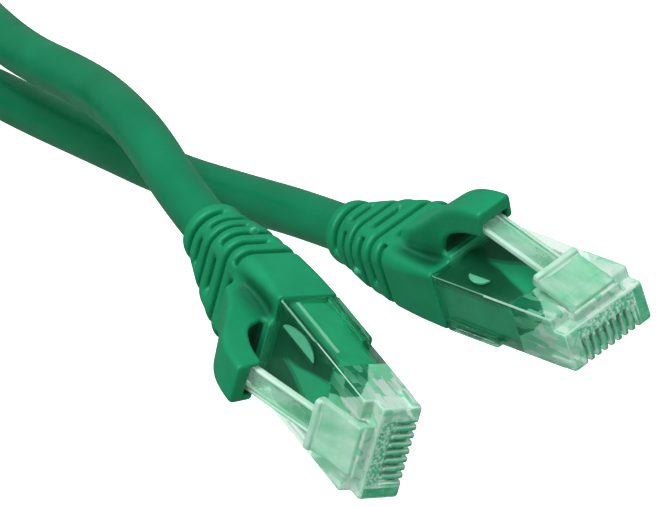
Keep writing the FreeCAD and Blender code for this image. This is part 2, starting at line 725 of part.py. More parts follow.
def make_tie():
    """Band round the coil's turns: a rounded frame with its tail lying on top."""
    first = (COIL_START_ANGLE - TIE_ANGLE) / 360 % 1
    top_level = math.floor(COIL_TURNS - first)
    half_across = CABLE_RADIUS + TIE_GAP
    low = COIL_LOW_Z - CABLE_RADIUS
    high = COIL_LOW_Z + COIL_PITCH * top_level + CABLE_RADIUS + FIT_CLEARANCE
    outer = rounded_bar(
        -TIE_WIDTH / 2, TIE_WIDTH / 2, half_across + TIE_THICKNESS, low - TIE_THICKNESS,
        high + TIE_THICKNESS, TIE_CORNER + TIE_THICKNESS,
    )
    inner = rounded_bar(-TIE_WIDTH, TIE_WIDTH, half_across, low, high, TIE_CORNER)
    tail = block(
        -TIE_WIDTH / 2, TIE_WIDTH / 2, half_across * (TIE_TAIL_SHARE - 1),
        half_across * TIE_TAIL_SHARE, high + TIE_THICKNESS, high + 2 * TIE_THICKNESS,
    )
    band = outer.cut(inner).fuse(tail).removeSplitter()
    band.rotate(Vector(), Vector(0, 0, 1), TIE_ANGLE - 90)
    band.translate(Vector(
        COIL_CENTRE_X + COIL_RADIUS * cosd(TIE_ANGLE),
        COIL_CENTRE_Y + COIL_RADIUS * sind(TIE_ANGLE), 0,
    ))
    return band


def plug_b_placement():
    middle_of_underside = REAR_START + REAR_SECTION_LENGTH / 2
    return Placement(Vector(middle_of_underside, 0, REAR_SECTION_DROP), Rotation())


def plug_a_placement():
    """Plug A leans on the floor with one corner of its nose."""
    turn = (
        Rotation(Vector(0, 0, 1), PLUG_A_YAW)
        .multiply(Rotation(Vector(0, 1, 0), PLUG_A_PITCH))
        .multiply(Rotation(Vector(1, 0, 0), PLUG_A_ROLL))
    )
    down = turn.inverted().multVec(Vector(0, 0, -1))
    corner = Vector(0, -HALF_WIDTH + HOUSING_CORNER, HOUSING_CORNER)
    across = math.hypot(down.y, down.z)
    lowest = corner + Vector(0, down.y, down.z) * (HOUSING_CORNER / across)
    height = -turn.multVec(lowest).z
    return Placement(Vector(PLUG_A_NOSE_X, PLUG_A_NOSE_Y, height), turn)


def save(shape, node, placement=Placement()):
    """Write one node, moved to its place."""
    placed = shape.copy()
    placed.Placement = placement.multiply(placed.Placement)
    placed.exportStep(f"parts/{node}.step")
    if not placed.isValid() or len(placed.Solids) != 1:
        print("check", node, "valid", placed.isValid(), "solids", len(placed.Solids))


def free_route(side, placement, chosen, coil_index):
    """Route points of one free stretch: straight out of the boot, chosen points, into the coil."""
    axis = BOOT_AXIS_HEIGHT - BOOT_DROP
    sideways = BOOT_SIDEWAYS[side]
    leave = placement.multVec(Vector(-BOOT_END, sideways, axis))
    lead = placement.multVec(Vector(-BOOT_END - PLUG_LEAD, sideways, axis))
    end = coil_ends()[coil_index]
    outward = coil_heading(COIL_TURNS) if coil_index else coil_heading(0) * -1
    points = [leave, lead] + [Vector(*point) for point in chosen]
    points += [end + outward * COIL_LEAD, end]
    print("route", side, [[round(value, 2) for value in point] for point in points])
    return points


housing = make_housing()
latch = make_latch()
guard = make_guard()
insert = make_insert()
load_bar = make_load_bar()
contacts = [make_contact(index) for index in range(CONTACT_COUNT)]
wires = [make_wire(index, contacts[index]) for index in range(CONTACT_COUNT)]
placements = {"a": plug_a_placement(), "b": plug_b_placement()}

for side, placement in placements.items():
    save(housing, f"plug_{side}_housing", placement)
    save(latch, f"plug_{side}_latch", placement)
    save(make_boot(BOOT_SIDEWAYS[side]), f"plug_{side}_boot", placement)
    save(guard, f"plug_{side}_guard", placement)
    save(insert, f"plug_{side}_insert", placement)
    save(make_jacket_end(BOOT_SIDEWAYS[side]), f"plug_{side}_jacket_end", placement)
    save(load_bar, f"plug_{side}_load_bar", placement)
    for index in range(CONTACT_COUNT):
        save(contacts[index], f"plug_{side}_contact_{index + 1}", placement)
        save(wires[index], f"plug_{side}_wire_{index + 1}", placement)
    for name, x, z in (
        ("latch pivot", -LATCH_PIVOT_FROM_NOSE, PIVOT_Z),
        ("guard pivot", -GUARD_PIVOT_FROM_NOSE, GUARD_PIVOT_HEIGHT),
        ("nose", 0, HOUSING_HEIGHT / 2),
    ):
        point = placement.multVec(Vector(x, 0, z))
        print("plug", side, name, [round(value, 3) for value in point])
    for name, axis in (("x axis", Vector(1, 0, 0)), ("y axis", Vector(0, 1, 0))):
        turned = placement.Rotation.multVec(axis)
        print("plug", side, name, [round(value, 5) for value in turned])

path_a = route_wire(free_route("a", placements["a"], ROUTE_A, 1), "cable a")
path_b = route_wire(free_route("b", placements["b"], ROUTE_B, 0), "cable b")
save(tube(path_a, CABLE_RADIUS, "cable a"), "cable_a")
save(tube(path_b, CABLE_RADIUS, "cable b"), "cable_b")
save(make_coil(), "cable_coil")
save(make_tie(), "coil_tie")
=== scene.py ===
import math

import bpy
import numpy as np
from mathutils import Matrix, Vector


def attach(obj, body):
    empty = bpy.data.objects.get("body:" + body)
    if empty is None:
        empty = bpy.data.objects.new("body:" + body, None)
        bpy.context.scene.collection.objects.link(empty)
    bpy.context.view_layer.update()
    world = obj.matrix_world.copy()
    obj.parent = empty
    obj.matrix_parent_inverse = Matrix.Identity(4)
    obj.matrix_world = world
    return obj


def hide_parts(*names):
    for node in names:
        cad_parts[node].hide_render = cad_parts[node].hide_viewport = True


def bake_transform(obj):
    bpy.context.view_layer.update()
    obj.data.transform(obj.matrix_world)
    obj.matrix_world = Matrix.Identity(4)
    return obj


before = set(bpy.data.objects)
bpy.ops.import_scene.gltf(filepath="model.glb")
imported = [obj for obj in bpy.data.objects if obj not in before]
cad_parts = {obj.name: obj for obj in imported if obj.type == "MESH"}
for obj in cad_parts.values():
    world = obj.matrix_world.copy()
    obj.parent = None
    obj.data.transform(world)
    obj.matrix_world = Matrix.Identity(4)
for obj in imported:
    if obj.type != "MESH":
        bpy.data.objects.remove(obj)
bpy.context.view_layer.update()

MM = 0.001

# Camera: place in metres, axes as unit vectors, lens and sensor in millimetres
CAMERA_PLACE = (0.71664, -0.4582, 0.50068)
CAMERA_RIGHT = (0.6295, 0.72626, -0.27618)
CAMERA_UP = (-0.23539, 0.51699, 0.82299)
CAMERA_BACK = (0.74049, -0.45306, 0.4964)
CAMERA_LENS = 491.65
CAMERA_SENSOR = 36


def link(piece):
    bpy.context.scene.collection.objects.link(piece)
    return piece


def make_camera():
    data = bpy.data.cameras.new("camera")
    data.sensor_width = CAMERA_SENSOR
    data.lens = CAMERA_LENS
    data.clip_start = 0.05
    data.clip_end = 20
    camera = link(bpy.data.objects.new("camera", data))
    turn = Matrix((CAMERA_RIGHT, CAMERA_UP, CAMERA_BACK)).transposed()
    camera.matrix_world = Matrix.LocRotScale(Vector(CAMERA_PLACE), turn.to_quaternion(), None)
    bpy.context.scene.camera = camera


make_camera()

# Cable: route points in millimetres, out of boot A, round the coil and into boot B
JACKET_DIAMETER = 5.5
LEAVE_A = [(-24.77, -18.26, 15.76), (-31.8, -16.15, 17.29)]
ROUTE_A = [
    (-41.93, -11.9, 18.9),
    (-51.55, -8.5, 18.4),
    (-62.4, -5.1, 16.8),
    (-77.0, -3.0, 15.4),
    (-91.2, 1.3, 14.1),
    (-102.5, 5.3, 13.9),
    (-115.5, 10.3, 16.6),
    (-125.5, 13.7, 19.9),
    (-135.89, 17.11, 22.0),
]
ROUTE_B = [
    (-126.54, -15.43, 3.55),
    (-119.1, -6.0, 3.2),
    (-109.0, 0.0, 2.9),
    (-99.0, 2.2, 2.75),
    (-86.7, 0.9, 2.75),
    (-71.8, 0.0, 2.75),
    (-57.5, -1.0, 2.75),
    (-44.9, -0.3, 2.8),
]
LEAVE_B = [(-34.2, -0.35, 3.69), (-26.7, -0.35, 3.69)]
COIL_CENTRE = (-155.0, -6.0)
COIL_RADIUS = 28.6
COIL_PITCH = 6.15
COIL_TURNS = 3.712
COIL_CLIMB_SHARE = 0.25
COIL_START_ANGLE = -35.8
COIL_LOW_Z = 3.55
COIL_POINTS_PER_TURN = 16


def coil_points():
    """Control points of the put-away turns, from the upper end to the lower one."""
    count = math.ceil(COIL_TURNS * COIL_POINTS_PER_TURN)
    radius = COIL_RADIUS / math.cos(math.pi / COIL_POINTS_PER_TURN)
    points = []
    for index in range(count, -1, -1):
        turns = COIL_TURNS * index / count
        level = math.floor(turns)
        climbed = max(1 - (level + 1 - turns) / COIL_CLIMB_SHARE, 0)
        angle = math.radians(COIL_START_ANGLE - 360 * turns)
        points.append((
            COIL_CENTRE[0] + radius * math.cos(angle),
            COIL_CENTRE[1] + radius * math.sin(angle),
            COIL_LOW_Z + COIL_PITCH * (level + climbed ** 2 * (3 - 2 * climbed)),
        ))
    return points


def make_cable():
    """Round jacket along the whole route, as thick as the radius of its points."""
    points = LEAVE_A + ROUTE_A + coil_points() + ROUTE_B + LEAVE_B
    data = bpy.data.curves.new("cable", "CURVE")
    data.dimensions = "3D"
    data.bevel_depth = 1.0
    data.bevel_resolution = 10
    data.resolution_u = 12
    spline = data.splines.new("NURBS")
    spline.points.add(len(points) - 1)
    for place, point in zip(spline.points, points):
        place.co = (*[value * MM for value in point], 1)
        place.radius = JACKET_DIAMETER / 2 * MM
    spline.order_u = 3
    spline.use_endpoint_u = True
    cable = link(bpy.data.objects.new("cable", data))
    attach(cable, "lead")
    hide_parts("cable_a", "cable_b", "cable_coil")
    return cable


cable = make_cable()

# Plugs: each in its own frame in millimetres, x forward to the nose at 0, y to the left,
# z from the contact side up to the latch side
PLUG_FRAMES = {
    "a": ((17.25, -28.56, 4.9525), (0.93792, -0.28139, -0.20279), (0.30498, 0.39058, 0.86858)),
    "b": ((17.8, 0.0, 0.89), (1.0, 0.0, 0.0), (0.0, 1.0, 0.0)),
}
SIDEWAYS = {"a": 0.6, "b": -0.35}
HOUSING_HALF_WIDTH = 5.84
HOUSING_LENGTH = 22.1
HOUSING_HEIGHT = 6.5
HOUSING_DROP = 0.89
HOUSING_EDGE = 0.5
BOOT_END = 44.5
BOOT_AXIS = 3.3


def plug_matrix(side):
    """Plug frame in millimetres to the row frame in metres."""
    origin, x_axis, y_axis = PLUG_FRAMES[side]
    x_axis = Vector(x_axis).normalized()
    z_axis = x_axis.cross(Vector(y_axis)).normalized()
    y_axis = z_axis.cross(x_axis)
    turn = Matrix((x_axis, y_axis, z_axis)).transposed().to_4x4()
    return Matrix.Translation(Vector(origin) * MM) @ turn @ Matrix.Scale(MM, 4)


def high(a, b, soft):
    """The larger value, rounded where both are close: what both shapes share."""
    return np.maximum(a, b) + np.maximum(soft - np.abs(a - b), 0) ** 2 / (4 * soft)


def low(a, b, soft):
    """The smaller value, rounded where both are close: both shapes joined."""
    return -high(-a, -b, soft)


# Steps that round a table's corners, and roundings that several shapes share
ALONG_STEPS = (-0.8, -0.4, 0.0, 0.4, 0.8)
FAR_AWAY = 9.0
HAIR = 0.05
FINE = 0.1
SLIGHT = 0.15
SOFT = 0.3
ROUND = 0.5


def along(x, table):
    """Value of a table of (x, value) rows at x, with its corners rounded."""
    places = [row[0] for row in table]
    values = [row[1] for row in table]
    return sum(np.interp(x + step, places, values) for step in ALONG_STEPS) / len(ALONG_STEPS)


def box_field(x, y, z, corners, soft):
    """Rounded box from two corners."""
    (x_low, y_low, z_low), (x_high, y_high, z_high) = corners
    across = high(y_low - y, y - y_high, soft)
    upright = high(z_low - z, z - z_high, soft)
    lengthwise = high(x_low - x, x - x_high, soft)
    return high(high(across, upright, soft), lengthwise, soft)


# Boot and snag guard: rows from the collar forward to the housing
BOOT_HALF_WIDTH = (
    (-44.5, 3.7), (-41.9, 3.75), (-36.3, 5.35), (-30.7, 6.1), (-26.4, 6.1), (-22.1, 5.95),
)
BOOT_LOW = ((-44.5, -0.9), (-41.9, -0.9), (-36.3, -0.89), (-26.4, -0.89))
BOOT_HIGH = ((-44.5, 6.5), (-41.9, 6.5), (-36.3, 7.15), (-30.7, 7.35), (-26.4, 6.75), (-22.1, 6.6))
BOOT_CORNER = ((-44.5, 3.6), (-41.9, 3.6), (-36.3, 2.9), (-30.7, 2.0), (-26.4, 1.2), (-22.1, 0.6))
BOOT_SHIFT = ((-41.9, 1.0), (-30.7, 0.0))
BOOT_DIP = ((-31.5, 0.0), (-28.5, 0.6), (-25.0, 0.6), (-22.1, 0.2))
BOOT_DIP_SIDE = 3.0
BOOT_DIP_WIDTH = 1.5
GATE_MARKS = {"a": (-36.0, 5.45, 2.55), "b": (-36.7, -5.35, 2.65)}
GATE_RADIUS = 0.5
GATE_FILLET = 0.1
BOOT_FRONT_EDGE = 0.25
COLLAR_EDGE = 1.8
BORE_RADIUS = 2.85
BORE_BELOW_AXIS = 0.5
BORE_DEPTH = 2.0
BORE_END_EDGE = 0.2
BORE_RIM = 0.25
GROOVE_FIRST = -42.4
GROOVE_PITCH = 2.15
GROOVE_WIDTH = 0.85
GROOVE_DEPTH = 1.0
GROOVE_COUNT = 6
GROOVE_EDGE = 0.3
GROOVE_RIM = 0.55
WEB_WIDTH = 1.5
WEB_ANGLES = ((-112, 112), (-42, 42, 180))
HOOD_TOP = (
    (-31.8, 8.0), (-29.8, 8.3), (-28.0, 9.0), (-26.4, 9.95), (-24.1, 11.4), (-21.4, 13.1),
    (-19.4, 13.95), (-17.4, 14.35), (-15.7, 14.5), (-13.0, 14.45),
)
HOOD_CEILING = (
    (-23.6, 7.6), (-22.9, 8.5), (-21.6, 9.8), (-19.3, 10.7), (-17.5, 11.1), (-13.0, 11.4),
)
HOOD_ARCH = (
    (-23.6, 7.6), (-22.0, 9.8), (-20.0, 11.8), (-18.5, 12.7), (-17.0, 13.0), (-14.4, 12.5),
    (-13.0, 12.4),
)
HOOD_ARCH_HALF_WIDTH = 1.8
HOOD_ARCH_EDGE = 0.4
HOOD_RIDGE_HALF_WIDTH = 2.45
HOOD_SPREAD = ((-31.0, 0.9), (-28.0, 0.7), (-25.5, 0.5), (-23.6, 0.3), (-22.0, 0.15), (-14.0, 0.1))
HOOD_FOOT = 6.9
HOOD_SUNK = 2.0
HOOD_LEAST_HEIGHT = 1.2
HOOD_FLARE = 2.5
HOOD_REAR = -30.5
HOOD_FRONT = -14.4
HOOD_FRONT_LEAN = 0.22
HOOD_SLOPE_SHARE = 0.88
HOOD_TOP_EDGE = 0.75
HOOD_END_EDGE = 0.5
HOOD_REAR_EDGE = 0.4
HOOD_FILLET = 0.6
TUNNEL_REAR = -23.3
TUNNEL_FLOOR = 6.95
TUNNEL_SLOPE_SHARE = 0.9
TUNNEL_CEILING_EDGE = 0.2
TUNNEL_REAR_EDGE = 1.4
TUNNEL_STEP_EDGE = 0.1
TUNNEL_FLOOR_EDGE = 0.8
TUNNEL_RIM = 0.45

# Tone of the boot: painted shade in the hollows, as (place, share) rows across, along and up the
# plug, and a painted highlight on the front rim
HOLLOW_ACROSS = ((2.2, 0.0), (2.8, 1.0), (3.8, 1.0), (5.4, 0.0))
HOLLOW_ALONG = ((-30.5, 0.0), (-28.5, 1.0), (-23.5, 1.0), (-22.3, 0.0))
HOLLOW_UPRIGHT = ((5.0, 0.0), (5.8, 1.0), (8.0, 0.8), (10.5, 0.0))
PLAIN_TONE = 0.5
HOLLOW_SHADE_DROP = 0.42
RIM_HIGHLIGHT_TONE = 0.66
RIM_WIDTH = 0.1
RIM_TOP = 7.5
GATE_TONE = 0.72
GATE_TONE_MARGIN = 0.1


def boot_body(x, y, z, sideways):
    """Straight rear part of the moulding that narrows to the round collar."""
    half_width = along(x, BOOT_HALF_WIDTH)
    bottom = along(x, BOOT_LOW)
    dip = np.exp(-np.maximum((np.abs(y) - BOOT_DIP_SIDE) / BOOT_DIP_WIDTH, 0) ** 2)
    top = along(x, BOOT_HIGH) - along(x, BOOT_DIP) * dip
    corner = along(x, BOOT_CORNER)
    shift = sideways * along(x, BOOT_SHIFT)
    over_y = np.abs(y - shift) - (half_width - corner)
    over_z = np.abs(z - (top + bottom) / 2) - ((top - bottom) / 2 - corner)
    outside = np.sqrt(np.maximum(over_y, 0) ** 2 + np.maximum(over_z, 0) ** 2)
    return outside + np.minimum(np.maximum(over_y, over_z), 0) - corner


def groove_field(x, y, z, body, sideways):
    """Broken rings cut round the body, left whole at their webs."""
    shift = sideways * along(x, BOOT_SHIFT)
    rings = np.full_like(x, FAR_AWAY)
    for index in range(GROOVE_COUNT):
        middle = GROOVE_FIRST + index * GROOVE_PITCH + GROOVE_WIDTH / 2
        ring = np.abs(x - middle) - GROOVE_WIDTH / 2
        for angle in WEB_ANGLES[index % 2]:
            turn = math.radians(angle)
            outward = (y - shift) * math.sin(turn) + (z - BOOT_AXIS) * math.cos(turn)
            beside = (y - shift) * math.cos(turn) - (z - BOOT_AXIS) * math.sin(turn)
            web = np.maximum(np.abs(beside) - WEB_WIDTH / 2, -outward)
            ring = high(ring, -web, GROOVE_EDGE)
        rings = np.minimum(rings, ring)
    return high(rings, -(body + GROOVE_DEPTH), GROOVE_EDGE)


def hood_field(x, y, z):
    """Guard over the latch tail: a ridge whose flanks flare out to the boot's sides."""
    top = along(x, HOOD_TOP)
    height = np.maximum(top - HOOD_FOOT, HOOD_LEAST_HEIGHT)
    depth = np.clip((top - z) / height, 0, 1)
    flare = along(x, HOOD_SPREAD)
    half_width = HOOD_RIDGE_HALF_WIDTH + flare * depth ** HOOD_FLARE
    slope = flare * HOOD_FLARE * depth ** (HOOD_FLARE - 1) / height
    flank = (np.abs(y) - half_width) / np.sqrt(1 + slope ** 2)
    front = x - HOOD_FRONT + HOOD_FRONT_LEAN * (HOOD_TOP[-1][1] - z)
    hood = high(flank, HOOD_SLOPE_SHARE * (z - top), HOOD_TOP_EDGE)
    hood = high(hood, front, HOOD_END_EDGE)
    hood = high(hood, HOOD_REAR - x, HOOD_REAR_EDGE)
    return high(hood, HOOD_FOOT - HOOD_SUNK - z, HOOD_END_EDGE)


def tunnel_field(x, y, z):
    """Opening under the hood from side to side, higher between the two thin skirts."""
    between_skirts = np.abs(y) - HOOD_ARCH_HALF_WIDTH
    arch = high(z - along(x, HOOD_ARCH), between_skirts, HOOD_ARCH_EDGE)
    ceiling = low(z - along(x, HOOD_CEILING), arch, TUNNEL_CEILING_EDGE)
    walls = high(TUNNEL_SLOPE_SHARE * ceiling, TUNNEL_REAR - x, TUNNEL_REAR_EDGE)
    floor = low(TUNNEL_FLOOR - z, -HOUSING_LENGTH - x, TUNNEL_STEP_EDGE)
    return high(walls, floor, TUNNEL_FLOOR_EDGE)


def gate_distance(x, y, z, side):
    """Distance from the centre of the spot where the moulding was fed."""
    spot = GATE_MARKS[side]
    return np.sqrt((x - spot[0]) ** 2 + (y - spot[1]) ** 2 + (z - spot[2]) ** 2)


def boot_tone(x, y, z, side):
    """Painted shade in the hollows beside the guard, a painted highlight on the front rim, light
    on the gate mark.
    """
    beside = np.interp(np.abs(y), *zip(*HOLLOW_ACROSS))
    lengthwise = np.interp(x, *zip(*HOLLOW_ALONG))
    level = np.interp(z, *zip(*HOLLOW_UPRIGHT))
    tone = PLAIN_TONE - HOLLOW_SHADE_DROP * beside * lengthwise * level
    tone = np.where((x > -HOUSING_LENGTH - RIM_WIDTH) & (z < RIM_TOP), RIM_HIGHLIGHT_TONE, tone)
    gate = gate_distance(x, y, z, side) < GATE_RADIUS + GATE_TONE_MARGIN
    return np.where(gate, GATE_TONE, tone)


def boot_field(x, y, z, side):
    """Boot and hood in one: ribs, opening under the hood, and the collar's bore."""
    sideways = SIDEWAYS[side]
    body = boot_body(x, y, z, sideways)
    body = high(body, -BOOT_END - x, COLLAR_EDGE)
    body = high(body, x + HOUSING_LENGTH, BOOT_FRONT_EDGE)
    joined = low(body, hood_field(x, y, z), HOOD_FILLET)
    joined = low(joined, gate_distance(x, y, z, side) - GATE_RADIUS, GATE_FILLET)
    joined = high(joined, -tunnel_field(x, y, z), TUNNEL_RIM)
    joined = high(joined, -groove_field(x, y, z, body, sideways), GROOVE_RIM)
    axis = BOOT_AXIS - BORE_BELOW_AXIS
    bore = np.sqrt((y - sideways) ** 2 + (z - axis) ** 2) - BORE_RADIUS
    bore = high(bore, x + BOOT_END - BORE_DEPTH, BORE_END_EDGE)
    return high(joined, -bore, BORE_RIM)


# Housing, with rooms cut past its faces by the overcut
OVERCUT = 2.0
OVERLAP = 1.0
CAVITY_EDGE = 0.4
ROOM_RIM = 0.12
WALL = 0.9
THIN_WALL = 0.3
LEDGE_WALL = 0.5
CAVITY_FRONT = 8.6
STEP = 13.5
NOSE_HEIGHT = 5.0
NOSE_STEP = 1.8
SLOT_LENGTH = 5.4
SLOT_WIDTH = 0.52
CONTACT_PITCH = 1.02
CONTACT_COUNT = 8
WIRE_Z = 3.1
BAR_HALF_HEIGHT = 1.05
BAR_FRONT = 5.7
ROW_HALF_WIDTH = 4.13
WIRE_ROOM_FRONT = -0.85
WIRE_ROOM_HALF_HEIGHT = 0.5
LATCH_SEAT = ((-2.3, -3.4, 4.5), (-0.4, 3.4, 6.3))
CRIMP_FRONT = -14.9
CRIMP_HALF_WIDTH = 3.7
CRIMP_ROOF = (-17.2, -0.99)
CRIMP_ROOF_SLOPE = 0.478
CRIMP_ROOF_SHARE = 0.9

# Latch: sizes along its plate and square to it, from the root
LATCH_ROOT = (-1.3, 6.05)
LATCH_ROOT_RADIUS = 0.5
LATCH_ANGLE = 20.15
LATCH_TRAVEL = 14.0
LATCH_HALF_WIDTH = 3.1
LATCH_OFFSET = 0.21
LATCH_THICKNESS = 1.0
LATCH_SHOULDER = 5.7
LATCH_WALL_LENGTH = 0.8
LATCH_WALL_RISE = 0.55
LATCH_TAIL = 15.8
LATCH_TAIL_HALF_WIDTH = 1.55
LATCH_BLOCK = (-0.4, 1.5)
LATCH_BLOCK_RISE = 0.2
LATCH_BLOCK_INSET = 0.15
LATCH_GROOVE_DEPTH = 0.35
LATCH_GROOVE_HALF_WIDTH = 1.1
LATCH_GROOVE_EDGE = 0.12
LATCH_GROOVE_RIM = 0.2
LATCH_FILLET = 0.4
HINGE_CLEARANCE = 0.08
PRESS_CLEARANCE = 0.2


def latch_place(x, z, angle):
    """Distance along the latch behind its root, and square to it."""
    turn = math.radians(angle)
    behind = -(x - LATCH_ROOT[0]) * math.cos(turn) + (z - LATCH_ROOT[1]) * math.sin(turn)
    across = (x - LATCH_ROOT[0]) * math.sin(turn) + (z - LATCH_ROOT[1]) * math.cos(turn)
    return behind, across


HALF_MOONS = {"a": (-16.8, 4.05, 1.75), "b": (-16.5, 2.05, 1.3)}
HALF_MOON_SIDE = 3.1
HALF_MOON_SKEW = 0.3
RECESS_DEPTH = 0.35
MARK_MARGIN = 0.12
MARK_MIDDLE_Z = 6.2
MARK_HALF_THICKNESS = 0.08


def half_moon(x, y, side):
    """Outline near both narrow sides, straight inside and curved outside."""
    middle, half_length, depth = HALF_MOONS[side]
    lengthwise = (x - middle) / half_length
    outward = (np.abs(y) - HALF_MOON_SIDE) / (depth * (1 + HALF_MOON_SKEW * lengthwise))
    oval = (np.sqrt(lengthwise ** 2 + outward ** 2) - 1) * depth
    return high(oval, HALF_MOON_SIDE - np.abs(y), FINE)


def housing_field(x, y, z, side):
    """Clear body: wider below the step, a lower nose, cavity, contact slots, latch room."""
    wide = HOUSING_HALF_WIDTH
    rear_end = -HOUSING_LENGTH
    nose = box_field(x, y, z, ((rear_end, -wide, 0), (0, wide, NOSE_HEIGHT)), HOUSING_EDGE)
    upper = box_field(
        x, y, z, ((rear_end, -wide, 0), (-NOSE_STEP, wide, HOUSING_HEIGHT)), HOUSING_EDGE
    )
    rear = box_field(
        x, y, z, ((rear_end, -wide, -HOUSING_DROP), (-STEP, wide, HOUSING_HEIGHT)), HOUSING_EDGE
    )
    seat = box_field(x, y, z, LATCH_SEAT, SOFT)
    body = low(low(nose, upper, SLIGHT), low(rear, seat, FINE), SLIGHT)

    cavity = box_field(x, y, z, (
        (rear_end - OVERCUT, WALL - wide, THIN_WALL),
        (-CAVITY_FRONT, wide - WALL, HOUSING_HEIGHT - WALL),
    ), CAVITY_EDGE)
    low_room = box_field(x, y, z, (
        (rear_end - OVERCUT, LEDGE_WALL - wide, THIN_WALL - HOUSING_DROP),
        (-STEP - THIN_WALL, wide - LEDGE_WALL, THIN_WALL + FINE),
    ), FINE)
    bar_room = box_field(x, y, z, (
        (-CAVITY_FRONT - OVERLAP, -ROW_HALF_WIDTH, WIRE_Z - BAR_HALF_HEIGHT),
        (-BAR_FRONT, ROW_HALF_WIDTH, WIRE_Z + BAR_HALF_HEIGHT),
    ), SLIGHT)
    wire_room = box_field(x, y, z, (
        (-BAR_FRONT - OVERLAP, -ROW_HALF_WIDTH, WIRE_Z - WIRE_ROOM_HALF_HEIGHT),
        (WIRE_ROOM_FRONT, ROW_HALF_WIDTH, WIRE_Z + WIRE_ROOM_HALF_HEIGHT),
    ), SLIGHT)
    room = np.minimum(np.minimum(cavity, low_room), np.minimum(bar_room, wire_room))
    for index in range(CONTACT_COUNT):
        middle = (index - (CONTACT_COUNT - 1) / 2) * CONTACT_PITCH
        slot = np.maximum(np.abs(y - middle) - SLOT_WIDTH / 2, -SLOT_LENGTH - x)
        slot = np.maximum(slot, z - WIRE_Z)
        room = np.minimum(room, slot)

    behind, across = latch_place(x, z, LATCH_ANGLE - LATCH_TRAVEL)
    under = LATCH_OFFSET - LATCH_THICKNESS / 2 - PRESS_CLEARANCE
    beside = np.abs(y) - LATCH_HALF_WIDTH - PRESS_CLEARANCE
    relief = high(np.maximum(under - across, -PRESS_CLEARANCE - behind), beside, SLIGHT)
    root = np.sqrt((x - LATCH_ROOT[0]) ** 2 + (z - LATCH_ROOT[1]) ** 2)
    root = np.maximum(root - LATCH_ROOT_RADIUS - HINGE_CLEARANCE, beside)
    recess = high(half_moon(x, y, side), HOUSING_HEIGHT - RECESS_DEPTH - z, FINE)
    roof = z - CRIMP_ROOF[1] - CRIMP_ROOF_SLOPE * (x - CRIMP_ROOF[0])
    crimp = np.maximum(x - CRIMP_FRONT, np.abs(y) - CRIMP_HALF_WIDTH)
    crimp = np.maximum(crimp, CRIMP_ROOF_SHARE * roof)
    for part in (relief, root, recess, crimp):
        room = np.minimum(room, part)
    return high(body, -room, ROOM_RIM)


def latch_field(x, y, z):
    """Locking lever: wide front part with shoulders, narrow tail with two rails."""
    behind, across = latch_place(x, z, LATCH_ANGLE)
    low_side = LATCH_OFFSET - LATCH_THICKNESS / 2
    high_side = LATCH_OFFSET + LATCH_THICKNESS / 2
    shoulder = LATCH_SHOULDER / math.cos(math.radians(LATCH_ANGLE))
    tail = LATCH_TAIL / math.cos(math.radians(LATCH_ANGLE))
    wide = LATCH_HALF_WIDTH

    def plate(start, end, bottom, top, half_width, edge):
        lengthwise = high(start - behind, behind - end, edge)
        upright = high(bottom - across, across - top, edge)
        return high(high(lengthwise, upright, edge), np.abs(y) - half_width, edge)

    root = np.sqrt((x - LATCH_ROOT[0]) ** 2 + (z - LATCH_ROOT[1]) ** 2) - LATCH_ROOT_RADIUS
    root = high(root, np.abs(y) - wide, SLIGHT)
    front = plate(0, shoulder, low_side, high_side, wide, SOFT)
    wall = plate(
        shoulder - LATCH_WALL_LENGTH, shoulder, low_side, high_side + LATCH_WALL_RISE, wide,
        SOFT,
    )
    narrow = plate(
        shoulder - OVERLAP, tail, low_side, high_side, LATCH_TAIL_HALF_WIDTH, SOFT
    )
    block = plate(
        *LATCH_BLOCK, low_side, high_side + LATCH_BLOCK_RISE, wide - LATCH_BLOCK_INSET,
        SLIGHT,
    )
    lever = low(low(root, front, FINE), low(wall, narrow, LATCH_FILLET), SOFT)
    groove = plate(
        shoulder, tail + OVERLAP, high_side - LATCH_GROOVE_DEPTH, high_side + OVERCUT,
        LATCH_GROOVE_HALF_WIDTH, LATCH_GROOVE_EDGE,
    )
    return high(low(lever, block, FINE), -groove, LATCH_GROOVE_RIM)


# Insert: a block with a foot in the deeper rear section
INSERT_REAR = -HOUSING_LENGTH - 0.3
INSERT_FRONT = -8.65
INSERT_HALF_WIDTH = 4.88
INSERT_TOP = 5.54
INSERT_FRONT_TOP = 4.15
INSERT_SLOPE = (0.447, 0.894)
INSERT_SLOPE_EDGE = 0.8
INSERT_FOOT_HALF_WIDTH = 5.28
INSERT_FOOT_TOP = THIN_WALL + 0.04
INSERT_CLEARANCE = 0.06


def insert_field(x, y, z):
    """Block that grips the jacket, with a sloping front and a lower rear half."""
    bottom = THIN_WALL + INSERT_CLEARANCE
    start = INSERT_REAR - OVERCUT
    block = box_field(x, y, z, (
        (start, -INSERT_HALF_WIDTH, bottom), (INSERT_FRONT, INSERT_HALF_WIDTH, INSERT_TOP)
    ), ROUND)
    slope = INSERT_SLOPE[0] * (x - INSERT_FRONT) + INSERT_SLOPE[1] * (z - INSERT_FRONT_TOP)
    block = high(block, slope, INSERT_SLOPE_EDGE)
    foot = box_field(x, y, z, (
        (start, -INSERT_FOOT_HALF_WIDTH, bottom - HOUSING_DROP),
        (-STEP - bottom, INSERT_FOOT_HALF_WIDTH, INSERT_FOOT_TOP),
    ), FINE)
    return np.maximum(low(block, foot, FINE), INSERT_REAR - x)


def mark_field(x, y, z, side):
    """Frosted half-moons on the floors of their recesses."""
    upright = np.abs(z - MARK_MIDDLE_Z) - MARK_HALF_THICKNESS
    return high(half_moon(x, y, side) + MARK_MARGIN, upright, HAIR)


# Meshing: the corners of a grid cell, and how the points settle on the surface
CELL_CORNERS = [(i, j, k) for i in (0, 1) for j in (0, 1) for k in (0, 1)]
SETTLING_ROUNDS = 3
NUDGE_SHARE = 0.125
LEAST_STEEPNESS = 0.3
TINY = 1e-9


